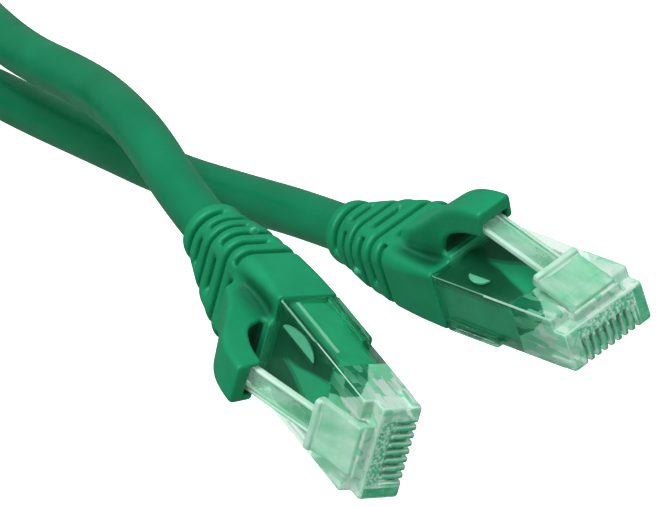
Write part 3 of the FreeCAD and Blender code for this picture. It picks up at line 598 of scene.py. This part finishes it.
def moulded_mesh(name, field, corners, step):
    """Quad mesh of the surface where the field is zero, in the plug's frame."""
    axes = [np.arange(start, end + step, step) for start, end in zip(*corners)]
    grid = np.meshgrid(*axes, indexing="ij")
    values = field(*grid)
    shape = [size - 1 for size in values.shape]

    def corner_values(offset):
        i, j, k = offset
        return values[i:i + shape[0], j:j + shape[1], k:k + shape[2]]

    total = np.zeros((3, *shape))
    count = np.zeros(shape)
    for first in CELL_CORNERS:
        for axis in range(3):
            if first[axis]:
                continue
            second = tuple(1 if index == axis else place for index, place in enumerate(first))
            start, end = corner_values(first), corner_values(second)
            crossed = (start < 0) != (end < 0)
            share = np.where(crossed, start / np.where(crossed, start - end, 1), 0)
            for index in range(3):
                place = share if index == axis else float(first[index])
                total[index] += np.where(crossed, place, 0)
            count += crossed
    used = count > 0
    number = np.full(shape, -1)
    number[used] = np.arange(np.count_nonzero(used))
    cells = np.argwhere(used)
    places = np.stack([total[index][used] / count[used] for index in range(3)], axis=1)
    points = (cells + places) * step + np.array([axis[0] for axis in axes])

    faces = []
    for axis in range(3):
        inner = [slice(1, size) for size in shape]
        inner[axis] = slice(0, shape[axis])
        start = values[tuple(inner)]
        moved = list(inner)
        moved[axis] = slice(1, shape[axis] + 1)
        end = values[tuple(moved)]
        outward = np.argwhere((start < 0) & (end >= 0))
        inward = np.argwhere((start >= 0) & (end < 0))
        side_1, side_2 = [index for index in range(3) if index != axis]
        if axis == 1:
            side_1, side_2 = side_2, side_1
        for edges, turned in ((outward, False), (inward, True)):
            base = edges.copy()
            for index in (side_1, side_2):
                base[:, index] += 1
            ring = []
            for back_1, back_2 in ((1, 1), (0, 1), (0, 0), (1, 0)):
                cell = base.copy()
                cell[:, side_1] -= back_1
                cell[:, side_2] -= back_2
                ring.append(number[cell[:, 0], cell[:, 1], cell[:, 2]])
            quads = np.stack(ring, axis=1)
            faces.append(quads[:, ::-1] if turned else quads)
    faces = np.concatenate(faces)

    nudge = step * NUDGE_SHARE
    for _ in range(SETTLING_ROUNDS):
        x, y, z = points.T
        here = field(x, y, z)
        slopes = np.stack([
            field(x + nudge, y, z) - field(x - nudge, y, z),
            field(x, y + nudge, z) - field(x, y - nudge, z),
            field(x, y, z + nudge) - field(x, y, z - nudge),
        ], axis=1) / (2 * nudge)
        steep = np.maximum((slopes ** 2).sum(axis=1), LEAST_STEEPNESS)
        move = -slopes * (here / steep)[:, None]
        reach = np.linalg.norm(move, axis=1)
        points = points + move * np.minimum(1, step / 2 / np.maximum(reach, TINY))[:, None]

    mesh = bpy.data.meshes.new(name)
    mesh.vertices.add(len(points))
    mesh.vertices.foreach_set("co", points.ravel())
    mesh.loops.add(faces.size)
    mesh.loops.foreach_set("vertex_index", faces.ravel())
    mesh.polygons.add(len(faces))
    mesh.polygons.foreach_set("loop_start", np.arange(0, faces.size, 4))
    mesh.update(calc_edges=True)
    mesh.shade_smooth()
    return mesh


def make_moulding(name, mesh, side, materials, slot, *nodes, pick=None, tone=None):
    """Piece from a mesh in the plug's frame, which stands for the named CAD nodes."""
    for material in materials:
        mesh.materials.append(material)
    places = np.empty(3 * len(mesh.vertices))
    mesh.vertices.foreach_get("co", places)
    own = mesh.attributes.new("plug_place", "FLOAT_VECTOR", "POINT")
    own.data.foreach_set("vector", (places * MM).astype(np.float32))
    if tone:
        shades = mesh.attributes.new("tone", "FLOAT", "POINT")
        shades.data.foreach_set("value", tone(*places.reshape(-1, 3).T).astype(np.float32))
    if pick:
        centres = np.empty(3 * len(mesh.polygons))
        normals = np.empty(3 * len(mesh.polygons))
        mesh.polygons.foreach_get("center", centres)
        mesh.polygons.foreach_get("normal", normals)
        chosen = pick(*centres.reshape(-1, 3).T, *normals.reshape(-1, 3).T)
        mesh.polygons.foreach_set("material_index", chosen.astype(np.int32))
    mesh.transform(plug_matrix(side))
    piece = link(bpy.data.objects.new(name, mesh))
    if nodes:
        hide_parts(*nodes)
    return piece


# Materials: scales per metre, depths in millimetres
GREEN_GLOSS = (0.6, 1.0, 0.8, 1)
RAMP_START = 0.3
RAMP_END = 0.7
GLOSS_FINER = 3
TONE_UNEVENNESS = 0.3
STREAKS = 350
STREAK_STRETCH = (0.5, 1.5, 1.5)
HAZE = 900
RIPPLES = 700
RIPPLE_DEPTH = 0.05
# Panes: painted refraction and highlight in the clear plastic
PANES = 1300
PANE_STRETCH = (0.25, 1, 1)
PANE_RANDOMNESS = 0.8
PANE_FADE = (-9 * MM, -3 * MM)
PANE_FADE_TONE = (-0.25, 0.1)
PANE_RAMP = (0.25, 0.75)


def linear(red, green, blue):
    """Screen colour from 0 to 255 as the shader's linear colour."""
    values = [value / 255 for value in (red, green, blue)]
    straight = [
        value / 12.92 if value < 0.04 else ((value + 0.055) / 1.055) ** 2.4 for value in values
    ]
    return (*straight, 1)


def new_material(name, **sockets):
    """Material whose constant values sit on the shader's own sockets."""
    material = bpy.data.materials.new(name)
    material.use_nodes = True
    shader = material.node_tree.nodes["Principled BSDF"]
    for socket, value in sockets.items():
        shader.inputs[socket.replace("_", " ")].default_value = value
    return material


def add_noise(material, per_metre, detail=3.0, stretch=(1, 1, 1)):
    """Noise in the object's own coordinates."""
    tree = material.node_tree
    coordinates = tree.nodes.new("ShaderNodeTexCoord")
    mapping = tree.nodes.new("ShaderNodeMapping")
    mapping.inputs["Scale"].default_value = stretch
    noise = tree.nodes.new("ShaderNodeTexNoise")
    noise.inputs["Scale"].default_value = per_metre
    noise.inputs["Detail"].default_value = detail
    tree.links.new(coordinates.outputs["Object"], mapping.inputs["Vector"])
    tree.links.new(mapping.outputs["Vector"], noise.inputs["Vector"])
    return noise.outputs["Fac"]


def colour_from(material, value, dark, light, start=RAMP_START, end=RAMP_END):
    """Base colour from a value, dark up to the start and light from the end."""
    ramp = material.node_tree.nodes.new("ShaderNodeValToRGB")
    ramp.color_ramp.elements[0].position = start
    ramp.color_ramp.elements[0].color = dark
    ramp.color_ramp.elements[1].position = end
    ramp.color_ramp.elements[1].color = light
    shader = material.node_tree.nodes["Principled BSDF"]
    material.node_tree.links.new(value, ramp.inputs["Fac"])
    material.node_tree.links.new(ramp.outputs["Color"], shader.inputs["Base Color"])


def roughness_from(material, value, smooth, dull):
    """Uneven gloss from a value."""
    spread = material.node_tree.nodes.new("ShaderNodeMapRange")
    spread.inputs["From Min"].default_value = RAMP_START
    spread.inputs["From Max"].default_value = RAMP_END
    spread.inputs["To Min"].default_value = smooth
    spread.inputs["To Max"].default_value = dull
    shader = material.node_tree.nodes["Principled BSDF"]
    material.node_tree.links.new(value, spread.inputs["Value"])
    material.node_tree.links.new(spread.outputs["Result"], shader.inputs["Roughness"])


def bump_from(material, value, depth):
    """Relief of the given depth in millimetres, on top of any relief there is."""
    bump = material.node_tree.nodes.new("ShaderNodeBump")
    bump.inputs["Strength"].default_value = 1.0
    bump.inputs["Distance"].default_value = depth * MM
    normal = material.node_tree.nodes["Principled BSDF"].inputs["Normal"]
    if normal.is_linked:
        material.node_tree.links.new(normal.links[0].from_socket, bump.inputs["Normal"])
    material.node_tree.links.new(value, bump.inputs["Height"])
    material.node_tree.links.new(bump.outputs["Normal"], normal)


def make_plastic(
    name, dark, light, smooth, dull, patches, grain, depth,
    start=RAMP_START, end=RAMP_END, **sockets
):
    """Opaque moulded plastic: faint patches of tone, uneven gloss, fine grain."""
    material = new_material(name, Specular_Tint=GREEN_GLOSS, **sockets)
    colour_from(material, add_noise(material, patches), dark, light, start, end)
    roughness_from(material, add_noise(material, patches * GLOSS_FINER), smooth, dull)
    bump_from(material, add_noise(material, grain, detail=4.0), depth)
    return material


def make_toned(
    name, dark, light, *middle, patches=250, smooth=0.45, dull=0.6, grain=1500,
    start=RAMP_START, end=RAMP_END
):
    """Plastic that goes from dark to light by its mesh's tone, which carries painted shade and
    highlights, a little uneven.
    """
    material = make_plastic(
        name, dark, light, smooth, dull, patches, grain, depth=0.03, start=start, end=end
    )
    tree = material.node_tree
    tone = tree.nodes.new("ShaderNodeAttribute")
    tone.attribute_name = "tone"
    uneven = tree.nodes.new("ShaderNodeMath")
    uneven.operation = "MULTIPLY_ADD"
    uneven.inputs[1].default_value = TONE_UNEVENNESS
    ramp = next(node for node in tree.nodes if node.type == "VALTORGB")
    for position, colour in middle:
        ramp.color_ramp.elements.new(position).color = colour
    tree.links.new(ramp.inputs["Fac"].links[0].from_socket, uneven.inputs[0])
    tree.links.new(tone.outputs["Fac"], uneven.inputs[2])
    tree.links.new(uneven.outputs["Value"], ramp.inputs["Fac"])
    return material


def add_panes(material):
    """Blocks of tone along the plug, paler towards its tip, as thick clear plastic looks: painted
    refraction in the darker blocks, painted highlight in the paler ones.
    """
    tree = material.node_tree
    place = tree.nodes.new("ShaderNodeAttribute")
    place.attribute_name = "plug_place"
    mapping = tree.nodes.new("ShaderNodeMapping")
    mapping.inputs["Scale"].default_value = PANE_STRETCH
    cells = tree.nodes.new("ShaderNodeTexVoronoi")
    cells.distance = "CHEBYCHEV"
    cells.inputs["Scale"].default_value = PANES
    cells.inputs["Randomness"].default_value = PANE_RANDOMNESS
    tree.links.new(place.outputs["Vector"], mapping.inputs["Vector"])
    tree.links.new(mapping.outputs["Vector"], cells.inputs["Vector"])
    apart = tree.nodes.new("ShaderNodeSeparateXYZ")
    forward = tree.nodes.new("ShaderNodeMapRange")
    forward.inputs["From Min"].default_value = PANE_FADE[0]
    forward.inputs["From Max"].default_value = PANE_FADE[1]
    forward.inputs["To Min"].default_value = PANE_FADE_TONE[0]
    forward.inputs["To Max"].default_value = PANE_FADE_TONE[1]
    total = tree.nodes.new("ShaderNodeMath")
    tree.links.new(place.outputs["Vector"], apart.inputs["Vector"])
    tree.links.new(apart.outputs["X"], forward.inputs["Value"])
    tree.links.new(forward.outputs["Result"], total.inputs[0])
    tree.links.new(cells.outputs["Color"], total.inputs[1])
    return total.outputs["Value"]


def make_clear(name, dark, light, smooth, dull, clarity, cover, bend=1.4, panes=False):
    """Clear plastic with flow streaks along its length, or panes of painted refraction and
    highlight, and a little haze.
    """
    material = new_material(
        name, Transmission_Weight=clarity, IOR=bend, Alpha=cover, Specular_Tint=GREEN_GLOSS
    )
    if panes:
        colour_from(material, add_panes(material), dark, light, *PANE_RAMP)
    else:
        streaks = add_noise(material, STREAKS, detail=4.0, stretch=STREAK_STRETCH)
        colour_from(material, streaks, dark, light)
    roughness_from(material, add_noise(material, HAZE), smooth, dull)
    bump_from(material, add_noise(material, RIPPLES, detail=2.0), RIPPLE_DEPTH)
    return material


# Dark end of the ramp: painted shade in the hollows; light end: painted highlight on the front rim
boot_green = make_toned(
    "boot_green", linear(8, 78, 54), linear(96, 196, 156),
    (0.58, linear(18, 136, 94)), (0.74, linear(24, 150, 106)),
    patches=180, smooth=0.42, dull=0.55, grain=2600, start=0.2, end=0.95,
)
# Painted shade: a darker green for the walls deep inside the opening under the hood
boot_painted_shade = make_plastic(
    "boot_painted_shade", linear(6, 46, 30), linear(10, 60, 40),
    smooth=0.5, dull=0.6, patches=180, grain=2600, depth=0.02,
)
jacket_green = make_plastic(
    "jacket_green", linear(12, 116, 80), linear(18, 128, 90),
    smooth=0.3, dull=0.42, patches=120, grain=1500, depth=0.02,
)
bump_from(boot_green, add_noise(boot_green, 420, detail=2.0), depth=0.06)
bump_from(jacket_green, add_noise(jacket_green, 150, detail=2.0), depth=0.4)
insert_green = make_plastic(
    "insert_green", linear(30, 154, 110), linear(44, 170, 124),
    smooth=0.35, dull=0.5, patches=250, grain=1500, depth=0.03,
)
# Painted shade: a darker copy of the insert's green for plug B, whose insert lies in shade
insert_painted_shade = make_plastic(
    "insert_painted_shade", linear(16, 118, 84), linear(28, 136, 98),
    smooth=0.35, dull=0.5, patches=250, grain=1500, depth=0.03,
)
# Painted shade on the insert's roof, lighter in a wedge down the middle
insert_roof_shade = make_toned("insert_roof_shade", linear(12, 84, 58), linear(34, 164, 118))
clear_body = make_clear(
    "clear_body", linear(190, 238, 216), linear(222, 248, 236),
    smooth=0.02, dull=0.08, clarity=1.0, cover=0.5, bend=1.25,
)
# Painted highlight: paler, less clear plastic for the long top edges
clear_edge_highlight = make_clear(
    "clear_edge_highlight", linear(130, 214, 176), linear(176, 232, 206),
    smooth=0.1, dull=0.2, clarity=0.4, cover=0.85,
)
# Painted highlight: paler, less clear plastic for teeth, ridges, slanted edges and latch rails
clear_rail_highlight = make_clear(
    "clear_rail_highlight", linear(206, 240, 222), linear(234, 250, 242),
    smooth=0.08, dull=0.16, clarity=0.3, cover=0.95,
)
clear_inner = make_clear(
    "clear_inner", linear(226, 244, 234), linear(240, 250, 244),
    smooth=0.05, dull=0.1, clarity=1.0, cover=0.12, bend=1.05,
)
# Nose: painted refraction and highlight in panes
clear_nose = make_clear(
    "clear_nose", linear(150, 234, 196), linear(252, 255, 253),
    smooth=0.02, dull=0.08, clarity=0.38, cover=0.8, bend=1.2, panes=True,
)
comb_grain = make_plastic(
    "comb_grain", linear(112, 210, 168), linear(244, 253, 248),
    smooth=0.12, dull=0.4, patches=2600, grain=5200, depth=0.15, start=0.42, end=0.58,
)
clear_latch = make_clear(
    "clear_latch", linear(132, 220, 180), linear(242, 254, 248),
    smooth=0.03, dull=0.1, clarity=0.45, cover=0.75, bend=1.25,
)
clear_tail = make_clear(
    "clear_tail", linear(96, 198, 152), linear(206, 242, 224),
    smooth=0.03, dull=0.1, clarity=0.6, cover=0.8, bend=1.25,
)
# Ledge: panes of painted refraction and highlight, darker than the nose's
clear_ledge = make_clear(
    "clear_ledge", linear(20, 124, 88), linear(120, 206, 166),
    smooth=0.05, dull=0.15, clarity=0.35, cover=0.95, panes=True,
)
comb_green = make_plastic(
    "comb_green", linear(74, 182, 140), linear(150, 220, 188),
    smooth=0.1, dull=0.25, patches=700, grain=2400, depth=0.08,
)
frosted = make_plastic(
    "frosted", linear(84, 176, 138), linear(104, 194, 156),
    smooth=0.5, dull=0.7, patches=400, grain=3000, depth=0.02,
)
load_bar_clear = make_clear(
    "load_bar", linear(170, 222, 196), linear(206, 240, 222),
    smooth=0.1, dull=0.3, clarity=0.5, cover=1.0,
)
contact_metal = make_plastic(
    "contact_metal", linear(60, 164, 120), linear(150, 214, 182),
    smooth=0.2, dull=0.4, patches=1500, grain=4000, depth=0.02, Metallic=0.3,
)
wire_pale = make_plastic(
    "wire_pale", linear(170, 216, 192), linear(206, 236, 220),
    smooth=0.3, dull=0.45, patches=500, grain=3000, depth=0.01,
)
wire_green = make_plastic(
    "wire_green", linear(50, 150, 108), linear(84, 180, 138),
    smooth=0.3, dull=0.45, patches=500, grain=3000, depth=0.01,
)
tie_black = make_plastic(
    "tie", linear(16, 17, 17), linear(38, 40, 40),
    smooth=0.85, dull=0.98, patches=900, grain=2400, depth=0.25,
)

cable.data.materials.append(jacket_green)


# Plugs: where a moulding's materials and tone change, in the plug's frame
HOUSING_MATERIALS = [
    clear_body, clear_edge_highlight, clear_inner, clear_nose, comb_grain, clear_rail_highlight, comb_green,
    clear_ledge,
]
LATCH_MATERIALS = [clear_latch, clear_rail_highlight, clear_tail]
# Plug B's insert gets the darker copy: painted shade
INSERT_SHADING = {"a": insert_green, "b": insert_painted_shade}
# The far side of each plug, where the front block beside the comb is painted green as shade
FAR_SIDE = {"a": -1, "b": 1}
FACING_FRONT = 0.75
NEARLY_FACING_FRONT = 0.6
SLANTING = 0.45
COMB_HALF_WIDTH = CONTACT_COUNT / 2 * CONTACT_PITCH
COMB_TOP = WIRE_Z - 0.4
GRAIN_TOP = NOSE_HEIGHT - 0.4
CORNER_RIM = 0.3
BESIDE_COMB = 0.25
FACE_BAND = 0.4
FRONT_BAND = 0.6
TEETH_BAND = 0.8
RIDGE_BAND = 0.22
OUTER_BAND = 0.6
LOW_BAND = 0.4
LONG_EDGE_BAND = 0.18
SKIN = 0.1
WEDGE_WIDTH = ((-CAVITY_FRONT, 3.4), (-5.5, 2.0), (-2.6, 0.0))
WEDGE_HEIGHT_SHARE = 1.2
# Painted highlight: a pale band along plug A's side
SHINE_LENGTH = (-21, -11)
SHINE_LEVEL = 4.9
SHINE_HALF_HEIGHT = 0.2
SHINE_SKIN = 0.02
# Painted shade on the walls deep inside the opening under the hood
SHADE_SKIN = 0.25
SHADE_HALF_WIDTH = 2.1
SHADE_FRONT = -15.5
# Painted highlights on the latch's rails and shoulder wall
RAIL_START = 6.0
RAIL_SKIN = 0.02
SHOULDER_SPAN = (4.8, 6.4)
SHOULDER_LEVEL = 0.75
# The insert's roof: painted shade at its sides, a lighter wedge down the middle
INSERT_ROOF = 4.9
INSERT_WEDGE = ((-19.5, 0.0), (-16.5, 0.6), (-13.0, 1.8), (-9.5, 2.6))
INSERT_WEDGE_BLUR = 0.35
INSERT_DARKER = 0.35
INSERT_LIGHTEST = 0.7


def choose(materials, areas):
    """Index of each face's material: that of the first area it is in, otherwise the first."""
    return np.select(list(areas.values()), [materials.index(material) for material in areas], 0)


def housing_parts(side, x, y, z, forward, *normal):
    """Which of the housing's materials each face has."""
    far = FAR_SIDE[side]
    wide = np.abs(y)
    flat = forward > FACING_FRONT
    over_comb = wide < COMB_HALF_WIDTH
    # Painted shade: the front block beside the comb is green on the far side only
    wall = flat & (far * y > COMB_HALF_WIDTH + BESIDE_COMB) & (x > -FRONT_BAND)
    wall &= z > CORNER_RIM
    wall &= (far * y < HOUSING_HALF_WIDTH - CORNER_RIM) & (z < NOSE_HEIGHT - CORNER_RIM)
    face = flat & over_comb & (z < COMB_TOP) & (x > -FACE_BAND)
    grain = over_comb & (forward > NEARLY_FACING_FRONT) & (x > -FRONT_BAND)
    grain &= (z > COMB_TOP) & (z < GRAIN_TOP)
    # Painted highlights: the teeth, the front ridge and the slanted outer edges are paler
    teeth = over_comb & (x > -TEETH_BAND) & (z < COMB_TOP)

    ridge = (x > -RIDGE_BAND) & (z > NOSE_HEIGHT - RIDGE_BAND)
    tilt = np.sort(np.abs(np.stack([forward, *normal])), axis=0)[1]
    outer = (wide > HOUSING_HALF_WIDTH - OUTER_BAND) | (z < LOW_BAND)
    ridge |= (tilt > SLANTING) & outer & (x > -STEP + LOW_BAND) & (z < HOUSING_HEIGHT - SKIN)
    # Painted highlights along the long top edges, and on plug A a pale band along its side
    long_edge = wide > HOUSING_HALF_WIDTH - LONG_EDGE_BAND
    long_edge &= z > HOUSING_HEIGHT - LONG_EDGE_BAND
    if side == "a":
        shine = wide > HOUSING_HALF_WIDTH - SHINE_SKIN
        shine &= np.abs(z - SHINE_LEVEL) < SHINE_HALF_HEIGHT
        long_edge |= shine & (x > SHINE_LENGTH[0]) & (x < SHINE_LENGTH[1])

    inside = (wide < HOUSING_HALF_WIDTH - WALL + SKIN) & (x < -CAVITY_FRONT + SKIN)
    inside &= z < HOUSING_HEIGHT - WALL + SKIN
    low_room = (z > THIN_WALL - HOUSING_DROP - SKIN) & (x < -STEP - 2 * SKIN)
    inside &= (z > THIN_WALL - SKIN) | low_room
    nose = x > -CAVITY_FRONT + SKIN
    width = np.interp(x, *zip(*WEDGE_WIDTH))
    wedge = HOUSING_HALF_WIDTH + far * y < width
    wedge &= HOUSING_HEIGHT - z < WEDGE_HEIGHT_SHARE * width
    ledge = (z < SKIN / 2) | (nose & wedge)
    return choose(HOUSING_MATERIALS, {
        comb_green: wall | face, comb_grain: grain, clear_rail_highlight: teeth | ridge,
        clear_edge_highlight: long_edge, clear_inner: inside, clear_ledge: ledge, clear_nose: nose,
    })


def tunnel_painted_shade(x, y, z, *normal):
    """Deep inside the opening under the hood, where shade is painted dark."""
    wall = (tunnel_field(x, y, z) < SHADE_SKIN) & (np.abs(y) < SHADE_HALF_WIDTH)
    return wall & (x < SHADE_FRONT) & (z > TUNNEL_FLOOR + SKIN)


def latch_parts(x, y, z, *normal):
    """Side rails and shoulder wall paler as a painted highlight, and the thin floor of the tail
    between them.
    """
    behind, across = latch_place(x, z, LATCH_ANGLE)
    start, end = SHOULDER_SPAN
    rail = (np.abs(y) > LATCH_GROOVE_HALF_WIDTH + RAIL_SKIN) & (behind > RAIL_START)
    wall = (across > SHOULDER_LEVEL) & (behind > start) & (behind < end)
    return choose(LATCH_MATERIALS, {clear_rail_highlight: rail | wall, clear_tail: behind > end})


def insert_upper(x, y, z, *normal):
    """The insert's roof, which shows through the latch side, with its painted shade."""
    return z > INSERT_ROOF


def insert_tone(x, y, z):
    """Painted shade on the roof's sides, lighter in a wedge down the middle that widens to the
    front.
    """
    wedge = np.interp(x, *zip(*INSERT_WEDGE))
    tone = (wedge - np.abs(y)) / INSERT_WEDGE_BLUR + INSERT_DARKER
    return np.clip(tone, 0, INSERT_LIGHTEST)


# Grids in the plug's frame as two corners and the step
GRIDS = {
    "boot": (((-44.9, -6.6, -1.3), (-13.9, 6.6, 15.0)), 0.15),
    "housing": (((-22.5, -6.2, -1.2), (0.3, 6.2, 6.9)), 0.16),
    "latch": (((-17.8, -3.4, 5.2), (-0.4, 3.4, 13.1)), 0.12),
    "insert": (((-22.8, -5.6, -0.9), (-8.3, 5.6, 5.9)), 0.18),
    "mark": (((-20.6, -5.0, 5.9), (-12.6, 5.0, 6.5)), 0.1),
}


def make_plug(side):
    """All mouldings of one plug, all but the boot on their bodies, and finishes for its CAD nodes.
    """
    boot = moulded_mesh(
        f"boot_{side}", lambda x, y, z: boot_field(x, y, z, side), *GRIDS["boot"]
    )
    boot = make_moulding(
        f"boot_{side}", boot, side, [boot_green, boot_painted_shade], "boot_green",
        f"plug_{side}_boot", f"plug_{side}_guard",
        pick=tunnel_painted_shade, tone=lambda x, y, z: boot_tone(x, y, z, side),
    )
    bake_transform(boot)
    housing = moulded_mesh(
        f"housing_{side}", lambda x, y, z: housing_field(x, y, z, side), *GRIDS["housing"]
    )
    housing = make_moulding(
        f"housing_{side}", housing, side, HOUSING_MATERIALS, "clear_body",
        f"plug_{side}_housing", pick=lambda *place: housing_parts(side, *place),
    )
    latch = moulded_mesh(f"latch_{side}", latch_field, *GRIDS["latch"])
    latch = make_moulding(
        f"latch_{side}", latch, side, LATCH_MATERIALS, "clear_body",
        f"plug_{side}_latch", pick=latch_parts,
    )
    insert = moulded_mesh(f"insert_{side}", insert_field, *GRIDS["insert"])
    insert = make_moulding(
        f"insert_{side}", insert, side, [INSERT_SHADING[side], insert_roof_shade], "insert_green",
        f"plug_{side}_insert", pick=insert_upper, tone=insert_tone,
    )
    mark = moulded_mesh(
        f"mark_{side}", lambda x, y, z: mark_field(x, y, z, side), *GRIDS["mark"]
    )
    mark = make_moulding(f"mark_{side}", mark, side, [frosted], "clear_body")
    for piece in (housing, insert, mark):
        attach(piece, "lead")
    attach(latch, f"latch_{side}")

    finishes = {"jacket_end": jacket_green, "load_bar": load_bar_clear}
    for index in range(CONTACT_COUNT):
        finishes[f"contact_{index + 1}"] = contact_metal
        finishes[f"wire_{index + 1}"] = wire_green if index % 2 else wire_pale
    for name, material in finishes.items():
        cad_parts[f"plug_{side}_{name}"].material_slots[0].material = material


for side in PLUG_FRAMES:
    make_plug(side)

# Tie round the coil
TIE_ANGLE = 150.0
TIE_THICKNESS = 0.8
TIE_HALF_ACROSS = 3.2
TIE_HALF_WIDTH = 3.5
TIE_HIGH = 24.8
TIE_CORNER = 3.0
TIE_TAIL = (-1.2, 1.9)
TIE_REACH = 50
TIE_GRID = (((-3.9, -4.4, -0.3), (3.9, 4.4, 26.7)), 0.2)


def tie_field(x, y, z):
    """Band round the four turns with the end of its tail lying on top."""
    def frame_field(grow):
        corners = (
            (-TIE_REACH, -TIE_HALF_ACROSS - grow, TIE_THICKNESS - grow),
            (TIE_REACH, TIE_HALF_ACROSS + grow, TIE_HIGH + grow),
        )
        return box_field(x, y, z, corners, TIE_CORNER)

    band = high(frame_field(TIE_THICKNESS), -frame_field(0.0), SOFT)
    tail = box_field(x, y, z, (
        (-TIE_REACH, TIE_TAIL[0], TIE_HIGH), (TIE_REACH, TIE_TAIL[1], TIE_HIGH + 2 * TIE_THICKNESS)
    ), TIE_THICKNESS / 2)
    return high(low(band, tail, SOFT), np.abs(x) - TIE_HALF_WIDTH, ROUND)


def make_tie():
    """Hook-and-loop band at one place of the coil."""
    mesh = moulded_mesh("tie", tie_field, *TIE_GRID)
    angle = math.radians(TIE_ANGLE)
    place = Vector((
        COIL_CENTRE[0] + COIL_RADIUS * math.cos(angle),
        COIL_CENTRE[1] + COIL_RADIUS * math.sin(angle), 0,
    ))
    turn = Matrix.Rotation(angle - math.pi / 2, 4, "Z")
    mesh.transform(Matrix.Translation(place * MM) @ turn @ Matrix.Scale(MM, 4))
    mesh.materials.append(tie_black)
    tie = link(bpy.data.objects.new("tie", mesh))
    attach(tie, "lead")
    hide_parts("coil_tie")
    return tie


tie = make_tie()


# Floor and light, in metres and watts
FLOOR_HALF = 3.0
FLOOR_GREY = (0.3, 0.3, 0.3, 1)
FLOOR_GLOW = 1.5
WORLD_COLOUR = (0.5, 1, 0.77, 1)
WORLD_STRENGTH = 0.34
LIGHT_TARGET = (-0.02, 0, 0)
LIGHT_SIZE = 0.8
LIGHTS = {"key": ((0.33, -0.37, 1.2), 16), "fill": ((0.8, 0.7, 0.8), 1.5)}


def make_floor():
    """Pale floor that only the camera and the clear pieces see glowing."""
    mesh = bpy.data.meshes.new("floor")
    half = FLOOR_HALF
    corners = [(-half, -half, 0), (half, -half, 0), (half, half, 0), (-half, half, 0)]
    mesh.from_pydata(corners, [], [(0, 1, 2, 3)])
    floor = link(bpy.data.objects.new("floor", mesh))
    mesh.materials.append(new_material(
        "floor", Base_Color=FLOOR_GREY, Roughness=0.9, Specular_IOR_Level=0.0,
        Emission_Color=(1, 1, 1, 1), Emission_Strength=FLOOR_GLOW,
    ))
    floor.visible_diffuse = False
    floor.visible_glossy = False


def make_light(name, place, power):
    data = bpy.data.lights.new(name, "AREA")
    data.shape = "SQUARE"
    data.size = LIGHT_SIZE
    data.energy = power
    light = link(bpy.data.objects.new(name, data))
    aim = (Vector(LIGHT_TARGET) - Vector(place)).to_track_quat("-Z", "Y")
    light.matrix_world = Matrix.LocRotScale(Vector(place), aim, None)


def make_world():
    world = bpy.data.worlds.new("world")
    bpy.context.scene.world = world
    world.use_nodes = True
    background = world.node_tree.nodes["Background"]
    background.inputs["Color"].default_value = WORLD_COLOUR
    background.inputs["Strength"].default_value = WORLD_STRENGTH


make_floor()
make_world()
for name, (place, power) in LIGHTS.items():
    make_light(name, place, power)
bpy.context.scene.view_settings.view_transform = "Standard"
